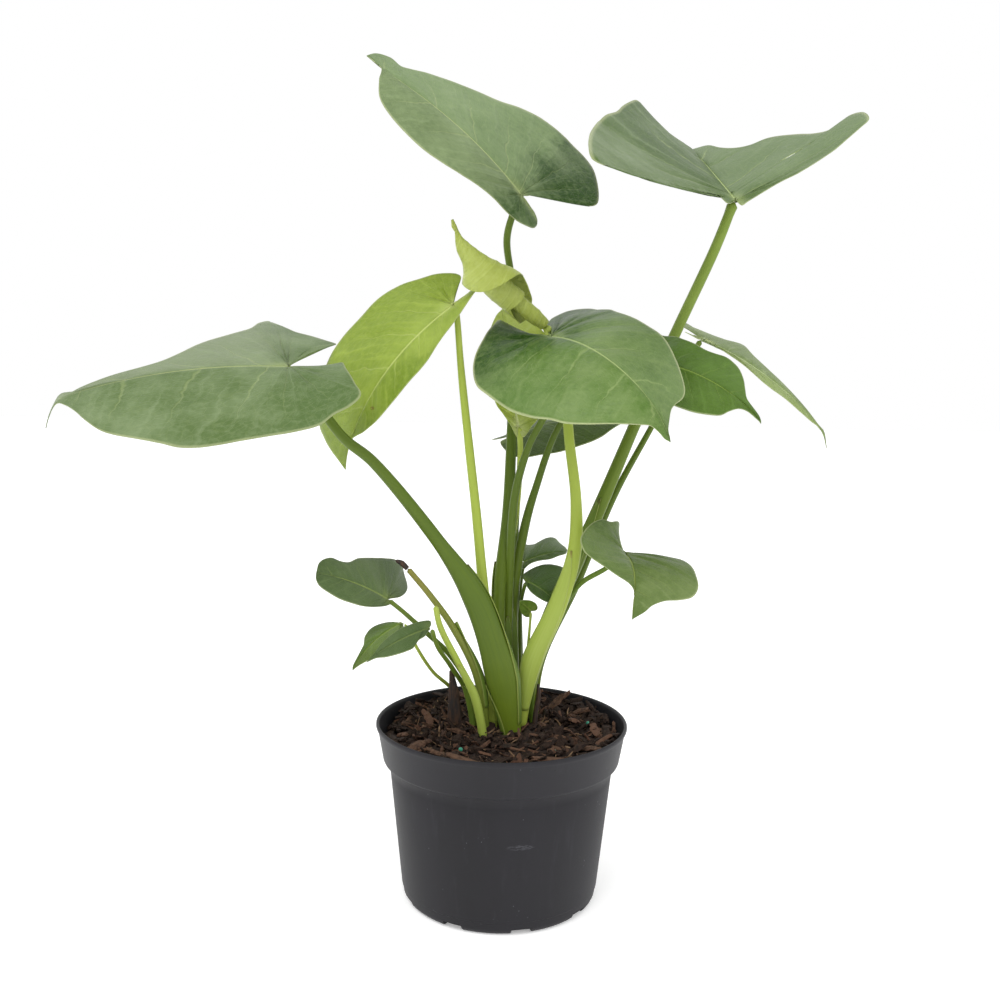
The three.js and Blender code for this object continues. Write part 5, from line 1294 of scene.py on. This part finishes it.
for blade in BLADES:
    name = blade["name"]
    veins, relief = LOOKS[name]["veins"], LOOKS[name]["relief"]
    large = blade["left"]["width"] + blade["right"]["width"] > LARGE_BLADE
    rows, columns = LARGE_MESH if large else SMALL_MESH
    piece = blade_piece(blade, veins * rows, columns, veins, relief, both_faces(name))
    if blade["slit"]:
        cut_away(piece, slit_cutter(blade), folded=True)
    settle(piece, "lime_leaf" if name in LIME else "green_leaf", name)
scroll = scroll_piece(SCROLL_ROWS, SCROLL_COLUMNS, both_faces(SCROLL["name"]))
settle(scroll, "lime_leaf", SCROLL["name"])

# Stalks, with the sheaths that clasp their foot: fractions of the path from and to, the angle
# round the stalk, the half angle and how far the edges stand off
SHEATHS = {
    "stalk_big_left": [(0.1, 0.5, 150, 75, 1.2), (0.02, 0.22, 10, 70, 0.6)],
    "stalk_rolled_lime": [(0.1, 0.45, 300, 90, 0.25)],
    "stalk_top_right": [(0.1, 0.5, 300, 85, 0.6)],
    "stalk_broken": [(0.15, 0.52, 175, 85, 2.0)],
    "stalk_stub": [(0.04, 0.5, 270, 95, 0.3)],
    "stalk_small_fold": [(0.03, 0.35, 270, 95, 0.3)],
    "stalk_top_left": [(0.05, 0.3, 20, 80, 1.0)],
    "stalk_right_dark": [(0.05, 0.22, 280, 95, 0.25)],
    "stalk_front_centre": [(0.02, 0.21, 270, 100, 0.5)],
}
STALK_TINTS = {
    "petiole": ("66781a", "526622", "667a30"),
    "limePetiole": ("a4b44a", "9dae48", "a2b252"),
    "stalk_broken": ("6a7c24", "78803a", "847c3c"),
    "stalk_top_right": ("7c8c30", "5c7024", "7a8f3e"),
    "stalk_small_right": ("5c7424", "5c7428", "6c8236"),
}
STALK_SLOTS = {"petiole": "green_stalk", "limePetiole": "lime_stalk", "dry": "dry_sheath"}
dry_look = dry_material()
# Sheath colours: body, the edge colour for the fibres and for the painted highlight on the free edges, and
# the tip.
sheath_looks = {
    "petiole": sheath_material("sheath_green", "5c7426", "8f9a4c", "544a26"),
    "limePetiole": sheath_material("sheath_lime", "98aa46", "b4c06c", "8f8044"),
}
for name, material, *path in STALKS:
    path = [(*point[:4], point[-1]) for point in path]
    dead_end = name == "stalk_broken_tip"
    small = path[0][3] < THIN_STALK
    parts = [stalk_parts(name, path, *(END_MESH if dead_end else THIN_MESH if small else THICK_MESH))]
    for sheath in SHEATHS.get(name, []):
        parts.append(sheath_parts(path, *sheath))
    points, faces, corners, slots = join_parts(parts)
    looks = [dry_look] if dead_end else [dry_look, dry_look]
    if material != "dry":
        tints = STALK_TINTS.get(name, STALK_TINTS[material])
        reach = path_length(path) * LENGTH_UNIT
        looks = [stalk_material("skin_" + name[6:], *tints, reach), sheath_looks[material]]
    shown = name.replace("stalk_", "petiole_").replace("sheath_dead", "dead_sheath")
    shown = "petiole_broken_end" if dead_end else shown
    piece = make_object(shown, points, faces, looks, {"stalk": corners}, slots)
    settle(piece, STALK_SLOTS[material], name)

# Pot and soil
settle(pot_piece(pot_material()), "pot", "pot")
settle(soil_piece(bark_material("peat", "17110e", "42322a", "241a15", False)), "soil", "soil")
chip_dark = bark_material("bark_dark", "1a1310", "4e3a2f", "35271f")
chip_red = bark_material("bark_red", "38271f", "84644f", "6e4f3e")
chip_tan = bark_material("bark_tan", "5a4434", "b29372", "7a6048")
for strewn in (
    ("bark_dark_flakes", 560, (6, 20), (2, 7), (0.8, 2.6), chip_dark, 11, 0.5),
    ("bark_red_flakes", 230, (6, 20), (1.6, 6), (0.7, 2.2), chip_red, 12, 0.5),
    ("bark_tan_splinters", 260, (4, 17), (0.4, 1.8), (0.3, 0.9), chip_tan, 13, 0.4),
):
    settle(scattered_flakes(*strewn), "soil")
STANDING = [
    (76, -4, 6, 15, 3.4, 1.8, 60, -62, 20), (66, -18, 4, 17, 5, 1.8, 20, -30, 0),
    (56, -30, 3, 20, 7, 2, -30, -12, 10), (30, -52, 3, 22, 8, 2.4, 15, 8, 0),
    (-24, -58, 3, 21, 7, 2.2, -20, 10, 12), (-56, -34, 3, 20, 8, 2.4, 40, -15, 8),
    (-40, -48, 3, 17, 6, 2, -8, 14, 5), (50, 10, 5, 19, 8, 3, 80, 20, 14),
    (-50, 12, 4, 19, 6, 2.4, -70, 25, 14), (-66, -8, 3, 18, 6, 2, 75, 12, 8),
    (38, 40, 5, 18, 7, 2.4, 25, -35, 20), (56, 34, 5, 17, 6, 2.4, -40, -24, 30),
    (24, 64, 4, 15, 5, 2, 20, -30, 10), (44, 58, 5, 15, 6, 2.2, 10, -38, 0),
    (-30, 60, 4, 16, 5, 2, -10, 20, 15), (-56, 42, 4, 14, 5, 2, 30, 26, 10),
    (64, 4, 4, 16, 7, 2.2, 100, -15, 10), (10, -64, 2, 18, 5, 1.8, 5, 4, 10),
]
settle(placed_flakes("bark_long_chips", STANDING, chip_red, 15), "soil")
dice = random.Random(16)
banked = []
for _ in range(BANKED_CHIPS):
    turn = dice.uniform(*BANK_TURNS)
    radius = dice.uniform(*BANK_RADII)
    lean = (math.degrees(turn) + dice.uniform(60, 120), dice.uniform(-28, 28), dice.uniform(-30, 30))
    size = (dice.uniform(8, 17), dice.uniform(3, 7), dice.uniform(1.2, 2.6))
    banked.append((radius * math.cos(turn), radius * math.sin(turn), dice.uniform(*BANK_RISES), *size, *lean))
settle(placed_flakes("bark_banked_chips", banked, chip_dark, 17), "soil")

# Balls of slow plant food: places and radii
PRILLS = (
    (-26, -44, 1.4), (-48, -62, 1.5), (-10, -66, 1.3), (34, -40, 1.3), (35, -62, 1.4), (60, 14, 1.3))
PRILL_RISE = 2.6
balls = [ball_parts((x, y, soil_top(x, y) + PRILL_RISE), radius) for x, y, radius in PRILLS]
settle(loose_piece("feed_prills", balls, prill_material(), True), "soil")

# Floor, light and camera
GROUND_REACH = 9000
ground = [(x * GROUND_REACH, y * GROUND_REACH, 0) for x, y in ((-1, -1), (1, -1), (1, 1), (-1, 1))]
make_object("studio_ground", ground, [(0, 1, 2, 3)], [floor_material()])

scene = bpy.context.scene
scene.view_settings.view_transform = "Standard"
scene.world = bpy.data.worlds.new("studio")
scene.world.use_nodes = True
background = scene.world.node_tree.nodes["Background"]
background.inputs["Color"].default_value = (1, 1, 1, 1)
background.inputs["Strength"].default_value = 1.0


def area_light(name, place, aim, size, watts):
    data = bpy.data.lights.new(name, "AREA")
    data.shape = "RECTANGLE"
    data.size, data.size_y = size
    data.energy = watts
    light = bpy.data.objects.new(name, data)
    light.location = place
    light.rotation_euler = (Vector(aim) - Vector(place)).to_track_quat("-Z", "Y").to_euler()
    scene.collection.objects.link(light)


# Lamps: name, place, aim and size in metres, and watts
area_light("key", (-0.7, -0.9, 1.9), (0, 0, 0.25), (1.4, 1.0), 14)
area_light("fill", (1.2, -0.8, 0.9), (0, 0, 0.3), (1.0, 1.0), 3)

right, up, forward = (Vector(direction) for direction in view_axes())
camera_data = bpy.data.cameras.new("photo_view")
camera_data.sensor_width = SENSOR
camera_data.sensor_fit = "HORIZONTAL"
camera_data.lens = FOCAL_SHARE * SENSOR
camera_data.clip_start = 0.01
camera_data.clip_end = 50
camera = bpy.data.objects.new("photo_view", camera_data)
turned = Matrix((right, up, -forward)).transposed().to_4x4()
camera.matrix_world = Matrix.Translation(Vector(CAMERA_PLACE) * MM) @ turned
scene.collection.objects.link(camera)
scene.camera = camera
